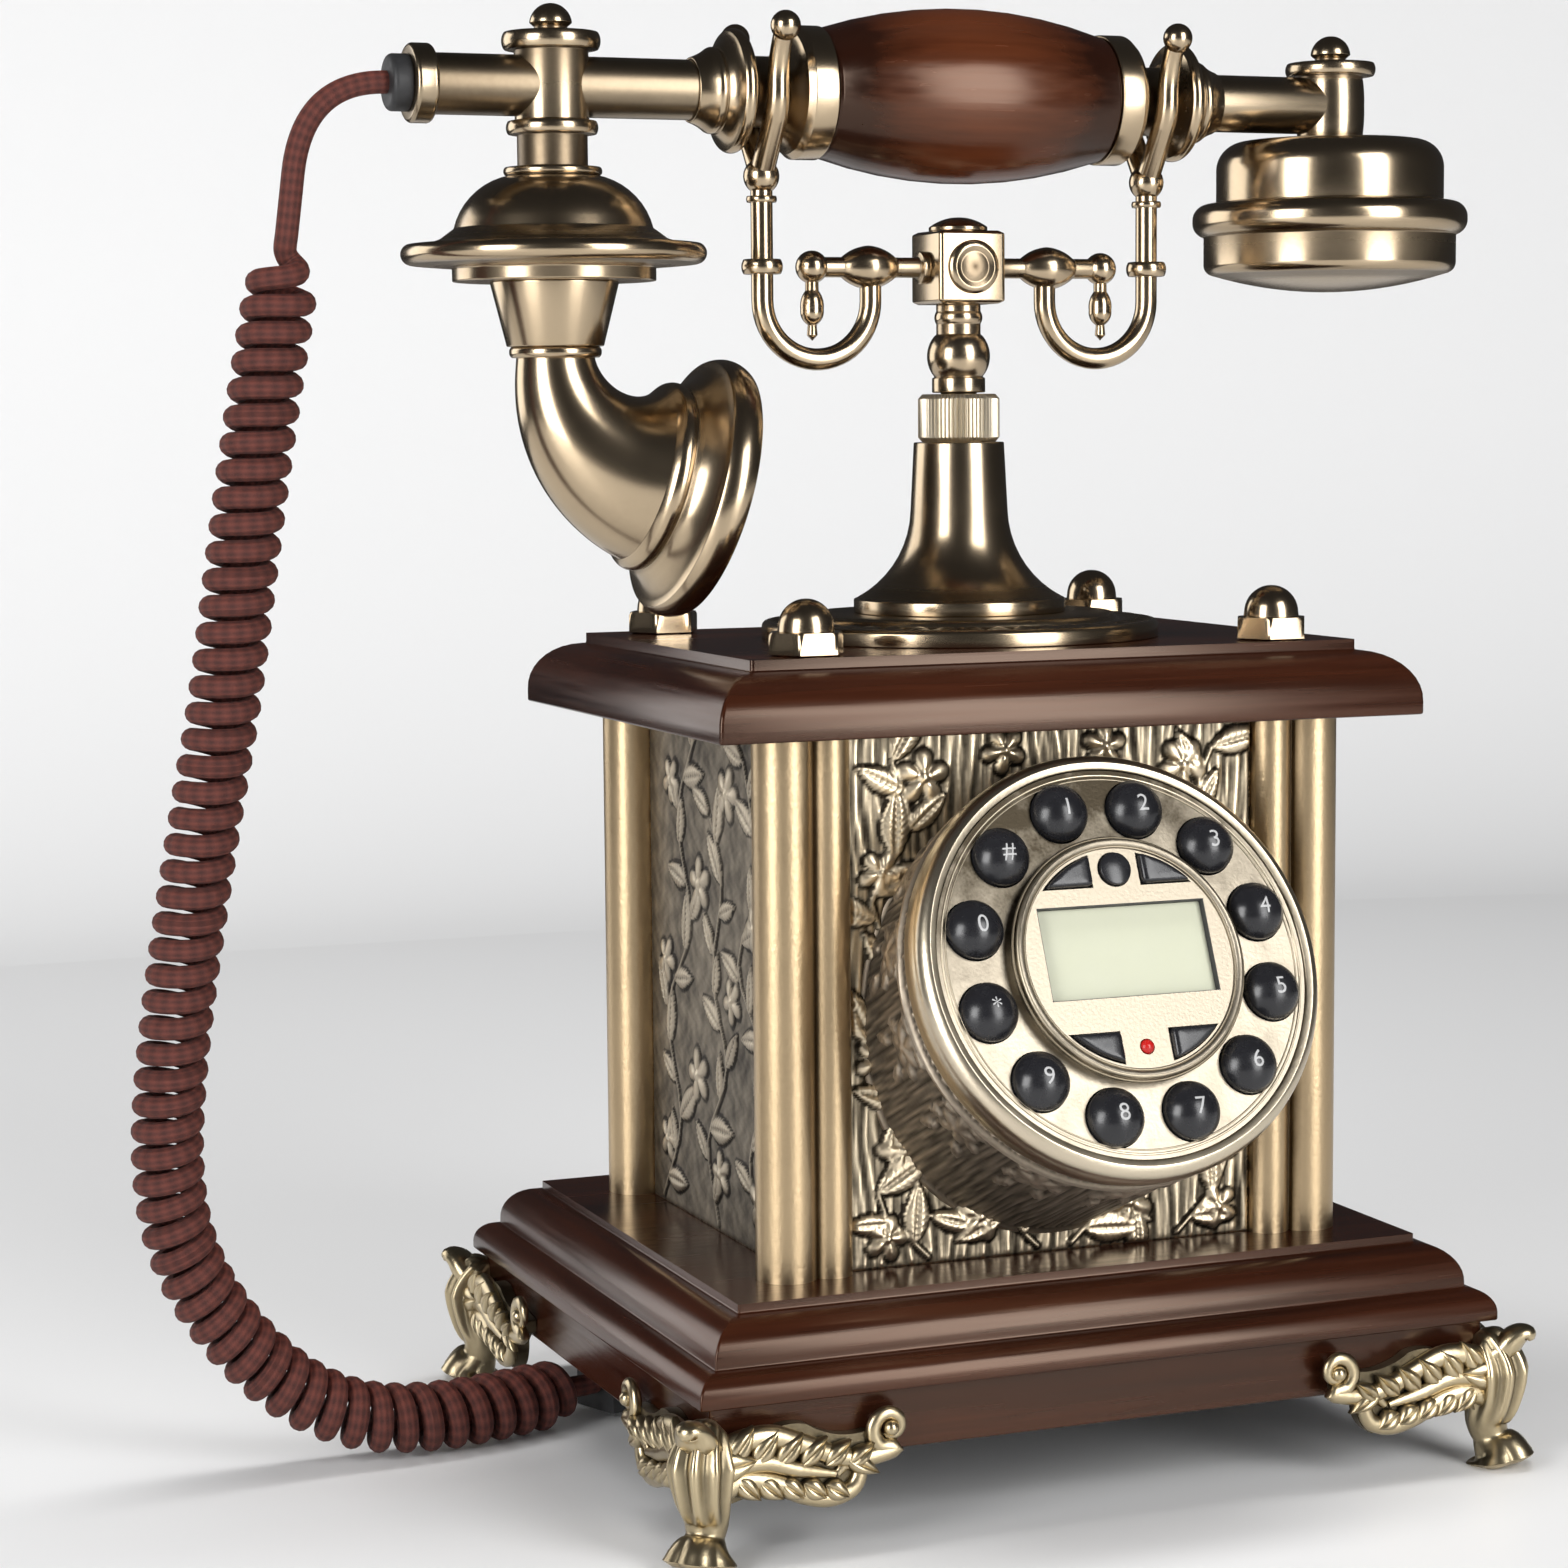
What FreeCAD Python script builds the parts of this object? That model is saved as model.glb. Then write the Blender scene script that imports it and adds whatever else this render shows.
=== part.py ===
import FreeCAD, Part
import math
import os
import types
import Sketcher
from FreeCAD import Placement, Rotation, Vector

# Driving dimensions in millimetres, angles in degrees
driving = {
    # wooden base
    "base_width": 188.0,
    "base_depth": 159.0,
    "foot_height": 19.4,
    "plinth_height": 13.1,
    "plinth_recess": 2.7,
    "moulding_height": 17.9,
    "moulding_reach": 13.5,
    "fillet_height": 2.0,
    "fillet_ledge": 1.5,
    "ovolo_reach": 6.7,
    "ovolo_drop": 8.0,
    "quirk_height": 1.2,
    "quirk_ledge": 1.0,
    "edge_height": 1.9,
    "base_wall": 12.0,
    "base_deck": 8.0,
    "cover_thickness": 2.4,
    "cover_ledge": 4.0,
    "wire_hole_radius": 8.0,
    # cast feet
    "leg_offset": 2.0,
    "toe_radius": 7.6,
    "ankle_radius": 5.2,
    "knee_radius": 7.4,
    "wing_length": 39.0,
    "wing_thickness": 4.0,
    "scroll_radius": 5.0,
    "scroll_eye_radius": 1.8,
    # column
    "column_width": 138.4,
    "column_depth": 109.4,
    "column_height": 115.8,
    "shaft_radius": 6.6,
    "shaft_wall": 2.2,
    "core_width": 5.2,
    "core_inset": 6.2,
    "core_front": 2.4,
    "rib_width": 9.0,
    "rib_front": 5.4,
    "panel_thickness": 2.0,
    "panel_front": 0.4,
    "side_panel_inset": 2.3,
    "panel_gap": 0.2,
    # wooden top
    "top_width": 165.4,
    "top_depth": 129.6,
    "top_thickness": 16.3,
    "top_reach": 11.0,
    "top_fillet_height": 2.4,
    "top_fillet_ledge": 1.0,
    "top_edge_height": 2.8,
    # long bolts
    "bolt_radius": 2.0,
    "bolt_gap": 0.25,
    "bolt_inset": 1.8,
    "bolt_back": 3.6,
    "bolt_head_height": 3.2,
    "nut_across": 14.6,
    "nut_height": 5.0,
    "acorn_radius": 5.9,
    "acorn_height": 7.0,
    # cradle
    "plate_radius": 45.0,
    "plate_thickness": 5.5,
    "pedestal_radius": 24.0,
    "pedestal_neck": 10.2,
    "pedestal_height": 38.4,
    "collar_radius": 9.0,
    "collar_height": 10.8,
    "stem_radius": 4.0,
    "stem_fit": 0.08,
    "stem_gap": 0.3,
    "stem_ring_radius": 6.0,
    "stem_neck_radius": 5.0,
    "stem_height": 20.1,
    "stem_drop": 26.0,
    "stem_foot_radius": 7.0,
    "block_size": 16.2,
    "boss_radius": 6.0,
    "boss_height": 1.5,
    "cap_height": 3.2,
    "arm_rod_radius": 2.25,
    "arm_reach": 35.6,
    "arm_ball_radius": 3.65,
    "olive_place": 22.0,
    "olive_radius": 4.85,
    "olive_half_length": 6.4,
    "drop_length": 12.6,
    "hook_tube_radius": 2.45,
    "hook_reach": 47.4,
    "hook_bend": 12.95,
    "hook_leg": 7.4,
    "hook_ring_radius": 4.7,
    "hook_ring_height": 3.3,
    "knuckle_radius": 4.0,
    "knuckle_drop": 18.3,
    "prong_radius": 2.5,
    "prong_gap": 0.4,
    "prong_flare": 20.0,
    "prong_ball_radius": 3.3,
    # hook switch and spring
    "switch_width": 30.0,
    "switch_depth": 14.0,
    "switch_drop": 42.0,
    "switch_plate": 2.0,
    "spring_radius": 5.0,
    "spring_wire": 0.6,
    "spring_gap": 0.3,
    # handset
    "handset_rise": 38.0,
    "grip_half_length": 34.4,
    "grip_radius": 19.4,
    "grip_end_radius": 14.3,
    "ferrule_radius": 14.6,
    "neck_radius": 7.7,
    "flange_radius": 13.5,
    "tube_radius": 6.5,
    "tube_wall": 1.3,
    "tube_fit": 0.05,
    "tube_tenon": 9.0,
    "tube_end": 127.5,
    "end_ring_radius": 8.4,
    "end_ring_width": 5.0,
    "mouth_place": 95.5,
    "ear_place": 95.5,
    "saucer_radius": 32.4,
    "saucer_drop": 41.5,
    "dome_drop": 18.9,
    "horn_drop": 57.8,
    "horn_bend": 26.1,
    "horn_turn": 74.4,
    "horn_small_radius": 8.5,
    "horn_large_radius": 19.3,
    "horn_wall": 1.6,
    "bell_radius": 28.0,
    "bell_length": 16.4,
    "cup_radius": 26.4,
    "cup_wall": 1.9,
    "cup_drop": 22.4,
    "ear_cap_drop": 43.0,
    "bead_radius": 31.9,
    "rim_radius": 29.3,
    "plug_radius": 6.05,
    "plug_length": 4.5,
    # dial
    "dial_forward": 84.37,
    "dial_centre_height": 119.93,
    "dial_tilt": 23.57,
    "bezel_radius": 45.9,
    "drum_radius": 44.6,
    "drum_wall": 2.2,
    "drum_front": 13.0,
    "board_ledge": 4.0,
    "board_depth": 14.0,
    "board_thickness": 1.6,
    "dial_plate_radius": 42.0,
    "dial_plate_thickness": 2.0,
    "dial_plate_drop": 2.5,
    "disc_radius": 25.5,
    "disc_rise": 1.0,
    "disc_wall": 1.2,
    "trim_rise": 0.8,
    "trim_width": 1.5,
    "key_circle": 33.9,
    "key_radius": 6.2,
    "key_gap": 0.3,
    "key_top": 3.0,
    "key_dome": 4.0,
    "key_foot": 9.5,
    "key_flange": 1.1,
    "display_width": 38.8,
    "display_height": 20.0,
    "display_lift": 1.7,
    "display_gap": 0.2,
    "carrier_rim": 0.9,
    "function_left": 5.8,
    "function_low": 15.7,
    "function_circle": 22.9,
    "function_top": 2.6,
    "function_foot": 7.0,
    "round_key_radius": 3.5,
    "lamp_place": 19.1,
    "lamp_radius": 1.5,
    # things inside the base
    "main_board_length": 80.0,
    "main_board_depth": 60.0,
    "board_lift": 5.0,
    "ringer_radius": 17.0,
    "ringer_height": 8.0,
    "ringer_gap": 2.3,
    "board_gap": 3.0,
    "jack_width": 13.6,
    "jack_height": 9.8,
    "jack_length": 18.0,
    "jack_place": 28.0,
    "jack_gap": 0.2,
    "socket_width": 9.6,
    "socket_height": 6.4,
    "socket_depth": 11.0,
    # coiled cord
    "strand_radius": 2.25,
    "coil_radius": 5.5,
    "coil_turns": 57,
    "tail_bend": 14.2,
    "tail_run": 5.5,
    "cord_joint_gap": 0.3,
    "gland_length": 14.0,
    "gland_width": 13.0,
    "gland_height": 17.4,
}

doc = FreeCAD.newDocument("CradlePhone")
sheet = doc.addObject("Spreadsheet::Sheet", "Sizes")
for row, (name, value) in enumerate(driving.items(), start=1):
    sheet.set(f"A{row}", name)
    sheet.set(f"B{row}", str(value))
    sheet.setAlias(f"B{row}", name)
doc.recompute()


class Size:
    """A length together with the sheet formula that gives it."""

    def __init__(self, value, text):
        self.value = float(value)
        self.text = text

    def __add__(self, other):
        other = sized(other)
        return Size(self.value + other.value, f"({self.text} + {other.text})")

    def __sub__(self, other):
        other = sized(other)
        return Size(self.value - other.value, f"({self.text} - {other.text})")

    def __mul__(self, other):
        other = sized(other)
        return Size(self.value * other.value, f"({self.text} * {other.text})")

    def __truediv__(self, other):
        other = sized(other)
        return Size(self.value / other.value, f"({self.text} / {other.text})")

    def __radd__(self, other):
        return sized(other) + self

    def __rsub__(self, other):
        return sized(other) - self

    def __rmul__(self, other):
        return self * other

    def __neg__(self):
        return Size(-self.value, f"(0 - {self.text})")

    def root(self):
        return Size(math.sqrt(self.value), f"sqrt({self.text})")


def sized(number):
    return number if isinstance(number, Size) else Size(number, f"({float(number):.5f})")


s = types.SimpleNamespace(**{name: Size(value, f"Sizes.{name}") for name, value in driving.items()})
nodes = {}


# Drawing helpers
def link(thing, path, size):
    size = sized(size)
    if "Sizes." in size.text:
        thing.setExpression(path, size.text)


def add(kind, label, **sizes):
    thing = doc.addObject(kind, label)
    thing.Label = label
    for name, size in sizes.items():
        setattr(thing, name, sized(size).value)
        link(thing, name, size)
    return thing


def place(thing, x=0, y=0, z=0, axis=Vector(0, 0, 1), angle=0.0):
    spot = [sized(part) for part in (x, y, z)]
    thing.Placement = Placement(Vector(*[part.value for part in spot]), Rotation(axis, angle))
    for name, part in zip("xyz", spot):
        link(thing, f"Placement.Base.{name}", part)
    return thing


def arc_between(begin, end, radius):
    chord = end - begin
    rise = math.sqrt(max(radius * radius - chord.Length ** 2 / 4, 0.0))
    left = Vector(-chord.y, chord.x, 0) / chord.Length
    centre = (begin + end) * 0.5 + left * math.copysign(rise, radius)
    first, last = (begin, end) if radius > 0 else (end, begin)
    start = math.atan2(first.y - centre.y, first.x - centre.x)
    stop = math.atan2(last.y - centre.y, last.x - centre.x)
    if stop < start:
        stop += 2 * math.pi
    return Part.ArcOfCircle(Part.Circle(centre, Vector(0, 0, 1), abs(radius)), start, stop)


def arc_radius(begin, end, bulge):
    across = end[0] - begin[0]
    along = end[1] - begin[1]
    chord = (across * across + along * along).root()
    return chord * ((1 + bulge * bulge) / (4 * bulge))


def cap_radius(wide, rise):
    # sphere centred on the axis: from the rim, wide out and rise below, to the top
    wide, rise = sized(wide), sized(rise)
    return (wide * wide + rise * rise) / (rise * 2)


def ball_radius(wide, long):
    # sphere centred on the axis between two rims of the same width
    wide, long = sized(wide), sized(long)
    return (wide * wide + long * long / 4).root()


def draw(sketch, points, closed=True):
    # a third entry bends the edge that arrives: a number is a bulge, a size is a radius
    spots = [(sized(point[0]), sized(point[1])) for point in points]
    first = 0 if closed else 1
    anchors = {}
    rules = []
    links = []
    begins = []
    for index in range(first, len(points)):
        edge = index - first
        begin, end = spots[index - 1], spots[index]
        start = Vector(begin[0].value, begin[1].value, 0)
        stop = Vector(end[0].value, end[1].value, 0)
        head, tail = 1, 2
        if len(points[index]) == 3:
            bend = points[index][2]
            radius = bend if isinstance(bend, Size) else arc_radius(begin, end, bend)
            sketch.addGeometry(arc_between(start, stop, radius.value))
            if radius.value < 0:
                head, tail = 2, 1
                radius = -radius
            links.append((len(rules), radius))
            rules.append(Sketcher.Constraint("Radius", edge, radius.value))
        else:
            sketch.addGeometry(Part.LineSegment(start, stop))
        begins.append((edge, head))
        anchors[index] = (edge, tail)
    if not closed:
        anchors[0] = begins[0]
    for index in range(len(points) if closed else len(points) - 1):
        follower = begins[(index + 1) % len(points)] if closed else begins[index]
        if anchors[index] != follower:
            rules.append(Sketcher.Constraint("Coincident", *anchors[index], *follower))
    for index, spot in enumerate(spots):
        for kind, axis, size in (("DistanceX", -2, spot[0]), ("DistanceY", -1, spot[1])):
            if abs(size.value) < 1e-9:
                rules.append(Sketcher.Constraint("PointOnObject", *anchors[index], axis))
            else:
                links.append((len(rules), size))
                rules.append(Sketcher.Constraint(kind, -1, 1, *anchors[index], size.value))
    sketch.addConstraint(rules)
    for number, size in links:
        link(sketch, f"Constraints[{number}]", size)


def sketch_on(body, role):
    sketch = body.newObject("Sketcher::SketchObject", "Outline")
    plane = next(item for item in body.Origin.OriginFeatures if item.Role == role)
    sketch.AttachmentSupport = [(plane, "")]
    sketch.MapMode = "FlatFace"
    return sketch


def turned(label, points):
    body = add("PartDesign::Body", label)
    sketch = sketch_on(body, "XZ_Plane")
    draw(sketch, points)
    turn = body.newObject("PartDesign::Revolution", "Turn")
    turn.Profile = sketch
    turn.ReferenceAxis = (sketch, ["V_Axis"])
    turn.Angle = 360.0
    return body


def prism(label, role, points, length, both=True):
    body = add("PartDesign::Body", label)
    sketch = sketch_on(body, role)
    draw(sketch, points)
    pad = body.newObject("PartDesign::Pad", "Pad")
    pad.Profile = sketch
    pad.SideType = "Symmetric" if both else "One side"
    pad.Length = sized(length).value
    link(pad, "Length", length)
    return body


def piped(label, role, points, radius, spot, lean=0.0):
    body = add("PartDesign::Body", label)
    spine = sketch_on(body, role)
    draw(spine, points, closed=False)
    ring = sketch_on(body, "XY_Plane")
    ring.addGeometry(Part.Circle(Vector(0, 0, 0), Vector(0, 0, 1), radius.value))
    ring.addConstraint([Sketcher.Constraint("Coincident", 0, 3, -1, 1),
                        Sketcher.Constraint("Radius", 0, radius.value)])
    link(ring, "Constraints[1]", radius)
    spot = [sized(part) for part in spot]
    turn = Rotation(Vector(1, 0, 0), -lean)
    ring.AttachmentOffset = Placement(Vector(*[part.value for part in spot]), turn)
    for name, part in zip("xyz", spot):
        link(ring, f"AttachmentOffset.Base.{name}", part)
    pipe = body.newObject("PartDesign::AdditivePipe", "Pipe")
    pipe.Profile = ring
    pipe.Spine = (spine, [f"Edge{edge + 1}" for edge in range(len(points) - 1)])
    return body


def block(label, long, wide, high, x, y, z):
    # a box centred on x and y with its underside at z
    box = add("Part::Box", label, Length=long, Width=wide, Height=high)
    return place(box, x - sized(long) / 2, y - sized(wide) / 2, z)


def rod(label, radius, height, x=0, y=0, z=0):
    return place(add("Part::Cylinder", label, Radius=radius, Height=height), x, y, z)


def ball(label, radius, x, y, z):
    return place(add("Part::Sphere", label, Radius=radius), x, y, z)


def fused(label, *pieces):
    whole = add("Part::MultiFuse", label)
    whole.Shapes = list(pieces)
    return whole


def cut(label, base, *tools):
    for number, tool in enumerate(tools, start=1):
        last = number == len(tools)
        trimmed = add("Part::Cut", label if last else f"{label}_trim_{number}")
        trimmed.Base = base
        trimmed.Tool = tool
        base = trimmed
    return base


def mirrored(label, source, normal):
    twin = add("Part::Mirroring", label)
    twin.Source = source
    twin.Normal = normal
    return twin


def grouped(label, *pieces):
    group = add("Part::Compound", label)
    group.Links = list(pieces)
    return group


def on_four_corners(label, one):
    right = mirrored(f"{label}_front", one, Vector(0, 1, 0))
    left = mirrored(f"{label}_left", one, Vector(1, 0, 0))
    far = mirrored(f"{label}_front_left", right, Vector(1, 0, 0))
    return grouped(label, one, right, left, far)


def keep(label, thing):
    thing.Label = label
    nodes[label] = thing
    return thing


# Levels and lines that several pieces share
z_plinth = s.foot_height
z_edge = z_plinth + s.plinth_height
z_base = z_edge + s.moulding_height
z_column = z_base + s.column_height
z_top = z_column + s.top_thickness
z_plate = z_top + s.plate_thickness
z_pedestal = z_plate + s.pedestal_height
z_collar = z_pedestal + s.collar_height
z_arm = z_collar + s.stem_height + s.block_size / 2
z_handset = z_arm + s.handset_rise
band_x = s.base_width / 2 - s.plinth_recess
band_y = s.base_depth / 2 - s.plinth_recess
shaft_x = s.column_width / 2 - s.shaft_radius
shaft_y = s.column_depth / 2 - s.shaft_radius
rib_x = shaft_x - s.core_width
bolt_x = rib_x - s.bolt_inset
bolt_y = shaft_y - s.bolt_back
post_back = shaft_y - s.core_inset
front_face = shaft_y + s.panel_front
side_face = shaft_x - s.side_panel_inset
z_cover = z_plinth + s.cover_thickness
along_x = {"axis": Vector(0, 1, 0), "angle": 90.0}


# Moulded boards: the same side profile run along both directions, mitred at the corners
def moulded(label, half_x, half_y, side):
    runs = []
    for role, half, other in (("XZ_Plane", half_x, half_y), ("YZ_Plane", half_y, half_x)):
        right = side(half)
        outline = list(right) + [(-right[-1][0], right[-1][1])]
        for here, before in zip(reversed(right), list(reversed(right))[1:]):
            outline.append((-before[0], before[1], *here[2:]))
        runs.append(prism(f"{label}_run_{role[:2]}", role, outline, other * 2))
    whole = add("Part::MultiCommon", f"{label}_blank")
    whole.Shapes = runs
    return whole


def base_side(half):
    top = half - s.moulding_reach
    ovolo = top + s.fillet_ledge + s.ovolo_reach
    shelf = z_base - s.fillet_height
    quirk = shelf - s.ovolo_drop
    return [(half - s.plinth_recess, z_plinth), (half - s.plinth_recess, z_edge), (half, z_edge),
            (half, z_edge + s.edge_height), (ovolo + s.quirk_ledge, quirk - s.quirk_height, 0.36),
            (ovolo, quirk - s.quirk_height), (ovolo, quirk), (top + s.fillet_ledge, shelf, 0.38),
            (top, shelf), (top, z_base)]


def top_side(half):
    top = half - s.top_reach
    shelf = z_top - s.top_fillet_height
    return [(half, z_column), (half, z_column + s.top_edge_height),
            (top + s.top_fillet_ledge, shelf, 0.4), (top, shelf), (top, z_top)]


def bolt_holes(label, bottom, height):
    one = rod(f"{label}_hole", s.bolt_radius + s.bolt_gap, height, bolt_x, bolt_y, bottom)
    return on_four_corners(f"{label}_holes", one)


def make_base():
    blank = moulded("base", s.base_width / 2, s.base_depth / 2, base_side)
    hollow = block("base_hollow", (band_x - s.base_wall) * 2, (band_y - s.base_wall) * 2,
                   z_base - s.base_deck - z_plinth, 0, 0, z_plinth)
    rebate = block("base_rebate", (band_x - s.cover_ledge) * 2, (band_y - s.cover_ledge) * 2,
                   s.cover_thickness, 0, 0, z_plinth)
    wire = rod("base_wire_hole", s.wire_hole_radius, s.base_deck * 3, 0, 0, z_base - s.base_deck * 2)
    window = block("base_jack_window", s.jack_width + s.jack_gap * 2, s.jack_length * 2,
                   s.jack_height + s.jack_gap, s.jack_place, band_y, z_cover)
    holes = bolt_holes("base_bolt", z_base - s.base_deck * 2, s.base_deck * 3)
    keep("base_board", cut("base_board", blank, hollow, rebate, wire, window, holes))
    keep("bottom_cover", block("bottom_cover", (band_x - s.cover_ledge - s.panel_gap) * 2,
                               (band_y - s.cover_ledge - s.panel_gap) * 2, s.cover_thickness,
                               0, 0, z_plinth))


# One corner bracket: a turned leg and two scrolled wings that lie on the plinth band
def make_feet():
    high = s.foot_height
    leg = turned("foot_leg", [
        (0, 0), (s.toe_radius - 2.2, 0), (s.toe_radius, high * 0.2, 0.3),
        (s.ankle_radius, high * 0.56, 0.3), (s.knee_radius, high * 1.12, -0.25),
        (s.ankle_radius - 0.4, high * 1.47, 0.35), (0, high * 1.5)])
    place(leg, band_x + s.leg_offset, band_y + s.leg_offset, 0)
    wings = []
    for role, corner in (("XZ_Plane", band_x), ("YZ_Plane", band_y)):
        reach = s.wing_length
        out = corner + s.leg_offset
        outline = [
            (out, high * 0.6), (out, high * 1.45), (corner - reach * 0.25, high * 1.32, -0.2),
            (corner - reach * 0.52, high * 1.43, 0.25), (corner - reach * 0.86, high * 1.28, -0.2),
            (corner - reach, high * 1.44), (corner - reach, high * 1.16),
            (corner - reach * 0.86, high * 0.92, -0.2), (corner - reach * 0.76, high * 0.55, 0.3),
            (corner - reach * 0.6, high * 0.68, 0.3), (corner - reach * 0.3, high * 0.78, -0.25)]
        wing = prism(f"foot_wing_{role[:2]}", role, outline, s.wing_thickness, both=False)
        eye = add("Part::Cylinder", f"foot_scroll_{role[:2]}", Radius=s.scroll_radius,
                  Height=s.wing_thickness + 0.8)
        bore = add("Part::Cylinder", f"foot_eye_{role[:2]}", Radius=s.scroll_eye_radius,
                   Height=s.wing_thickness * 3)
        height = high * 1.3
        if role == "XZ_Plane":
            place(wing, 0, band_y + s.wing_thickness, 0)
            place(eye, corner - reach, band_y + s.wing_thickness + 0.8, height, Vector(1, 0, 0), 90)
            place(bore, corner - reach, band_y + s.wing_thickness * 2, height, Vector(1, 0, 0), 90)
        else:
            place(wing, band_x, 0, 0)
            place(eye, band_x, corner - reach, height, Vector(0, 1, 0), 90)
            place(bore, band_x - s.wing_thickness, corner - reach, height, Vector(0, 1, 0), 90)
        wings.append(cut(f"foot_wing_{role[:2]}_pierced", fused(f"foot_blade_{role[:2]}", wing, eye), bore))
    seat = block("foot_seat", band_x * 2, band_y * 2, high * 2, 0, 0, z_plinth)
    one = cut("foot_one", fused("foot_cast", leg, *wings), seat)
    keep("base_feet", on_four_corners("base_feet", one))


def make_column():
    tall = s.column_height
    shaft = rod("post_shaft", s.shaft_radius, tall, shaft_x, shaft_y, z_base)
    core = block("post_core", s.core_width, s.core_inset + s.core_front, tall,
                 shaft_x - s.core_width / 2, shaft_y + (s.core_front - s.core_inset) / 2, z_base)
    rib = block("post_rib", s.rib_width, s.core_inset + s.rib_front, tall,
                rib_x - s.rib_width / 2, shaft_y + (s.rib_front - s.core_inset) / 2, z_base)
    bore = rod("post_bore", s.shaft_radius - s.shaft_wall, tall, shaft_x, shaft_y, z_base)
    hole = rod("post_bolt_hole", s.bolt_radius + s.bolt_gap, tall, bolt_x, bolt_y, z_base)
    post = cut("post_one", fused("post_body", shaft, core, rib), bore, hole)
    keep("corner_posts", on_four_corners("corner_posts", post))
    wide = (rib_x - s.rib_width - s.panel_gap) * 2
    middle = front_face - s.panel_thickness / 2
    sheet_front = block("front_sheet", wide, s.panel_thickness, tall, 0, -middle, z_base)
    opening = dial_turned("front_opening", [
        (0, -s.drum_front), (s.drum_radius + s.panel_gap, -s.drum_front),
        (s.drum_radius + s.panel_gap, -s.dial_forward), (0, -s.dial_forward)])
    keep("front_panel", cut("front_panel", sheet_front, opening))
    keep("rear_panel", block("rear_panel", wide, s.panel_thickness, tall, 0, middle, z_base))
    side = block("side_sheet", s.panel_thickness, (post_back - s.panel_gap) * 2, tall,
                 side_face - s.panel_thickness / 2, 0, z_base)
    keep("side_panels", grouped("side_panels", side, mirrored("side_sheet_left", side, Vector(1, 0, 0))))


def make_top():
    blank = moulded("top", s.top_width / 2, s.top_depth / 2, top_side)
    passage = rod("top_passage", s.stem_radius + 1.0, s.top_thickness * 2, 0, 0, z_column - 5)
    holes = bolt_holes("top_bolt", z_column, s.top_thickness)
    keep("top_board", cut("top_board", blank, passage, holes))
    deep = z_base - s.base_deck
    shank = rod("bolt_shank", s.bolt_radius, z_top - deep, bolt_x, bolt_y, deep)
    head = add("Part::Prism", "bolt_head", Circumradius=s.bolt_radius * 2.2, Height=s.bolt_head_height)
    place(head, bolt_x, bolt_y, deep - s.bolt_head_height)
    nut = add("Part::Prism", "bolt_nut", Circumradius=s.nut_across / math.sqrt(3), Height=s.nut_height)
    place(nut, bolt_x, bolt_y, z_top)
    acorn = turned("bolt_acorn", [(0, 0), (s.acorn_radius, 0), (s.acorn_radius, s.acorn_height * 0.25),
                                  (0, s.acorn_height, cap_radius(s.acorn_radius, s.acorn_height * 0.75))])
    place(acorn, bolt_x, bolt_y, z_top + s.nut_height)
    one = fused("bolt_one", shank, head, nut, acorn)
    keep("acorn_bolts", on_four_corners("acorn_bolts", one))


def make_pedestal():
    bore = s.stem_radius + s.stem_fit
    wide = s.plate_radius
    plate = turned("cradle_plate", [
        (bore + 0.9, 0), (wide, 0), (wide, s.plate_thickness * 0.5),
        (wide - 1.6, s.plate_thickness * 0.72, 0.4), (wide - 9, s.plate_thickness * 0.72),
        (wide - 11, s.plate_thickness, 0.3), (bore + 0.9, s.plate_thickness)])
    keep("cradle_plate", place(plate, 0, 0, z_top))
    tall = s.pedestal_height
    foot = s.pedestal_radius
    neck = s.pedestal_neck
    pedestal = turned("pedestal", [
        (bore + 0.9, 0), (foot, 0), (foot, tall * 0.08), (foot - 0.8, tall * 0.09),
        (neck + 0.8, tall * 0.6, -0.27), (neck, tall), (bore + 0.9, tall)])
    keep("pedestal", place(pedestal, 0, 0, z_plate))
    ring = s.collar_radius
    collar = turned("knurled_collar", [
        (bore, 0), (ring - 0.7, 0), (ring, s.collar_height * 0.1), (ring, s.collar_height * 0.9),
        (ring - 0.7, s.collar_height), (bore, s.collar_height)])
    keep("knurled_collar", place(collar, 0, 0, z_pedestal))


def make_stem():
    low = z_column - s.stem_drop
    rise = z_collar + s.stem_gap
    ring = s.stem_ring_radius
    neck = s.stem_neck_radius
    tall = s.stem_height
    stem = turned("cradle_stem", [
        (0, low), (s.stem_foot_radius, low), (s.stem_foot_radius, low + 3), (s.stem_radius, low + 3),
        (s.stem_radius, rise), (ring, rise), (ring, z_collar + tall * 0.18),
        (neck + 0.4, z_collar + tall * 0.19),
        (neck + 0.4, z_collar + tall * 0.65, ball_radius(neck + 0.4, tall * 0.46)),
        (neck, z_collar + tall * 0.66), (neck, z_collar + tall * 0.78),
        (neck, z_collar + tall * 0.92, 0.3), (neck, z_collar + tall), (0, z_collar + tall)])
    keep("cradle_stem", stem)
    cube = block("hub_cube", s.block_size, s.block_size, s.block_size, 0, 0, z_arm - s.block_size / 2)
    bossed = rod("hub_boss", s.boss_radius, s.block_size + s.boss_height * 2)
    place(bossed, 0, s.block_size / 2 + s.boss_height, z_arm, Vector(1, 0, 0), 90)
    dome = turned("hub_dome", [
        (0, 0), (s.boss_radius + 0.6, 0), (s.boss_radius + 0.6, s.cap_height * 0.3),
        (0, s.cap_height, cap_radius(s.boss_radius + 0.6, s.cap_height * 0.7))])
    place(dome, 0, 0, z_arm + s.block_size / 2)
    keep("cradle_block", fused("cradle_block", cube, bossed, dome))


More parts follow.
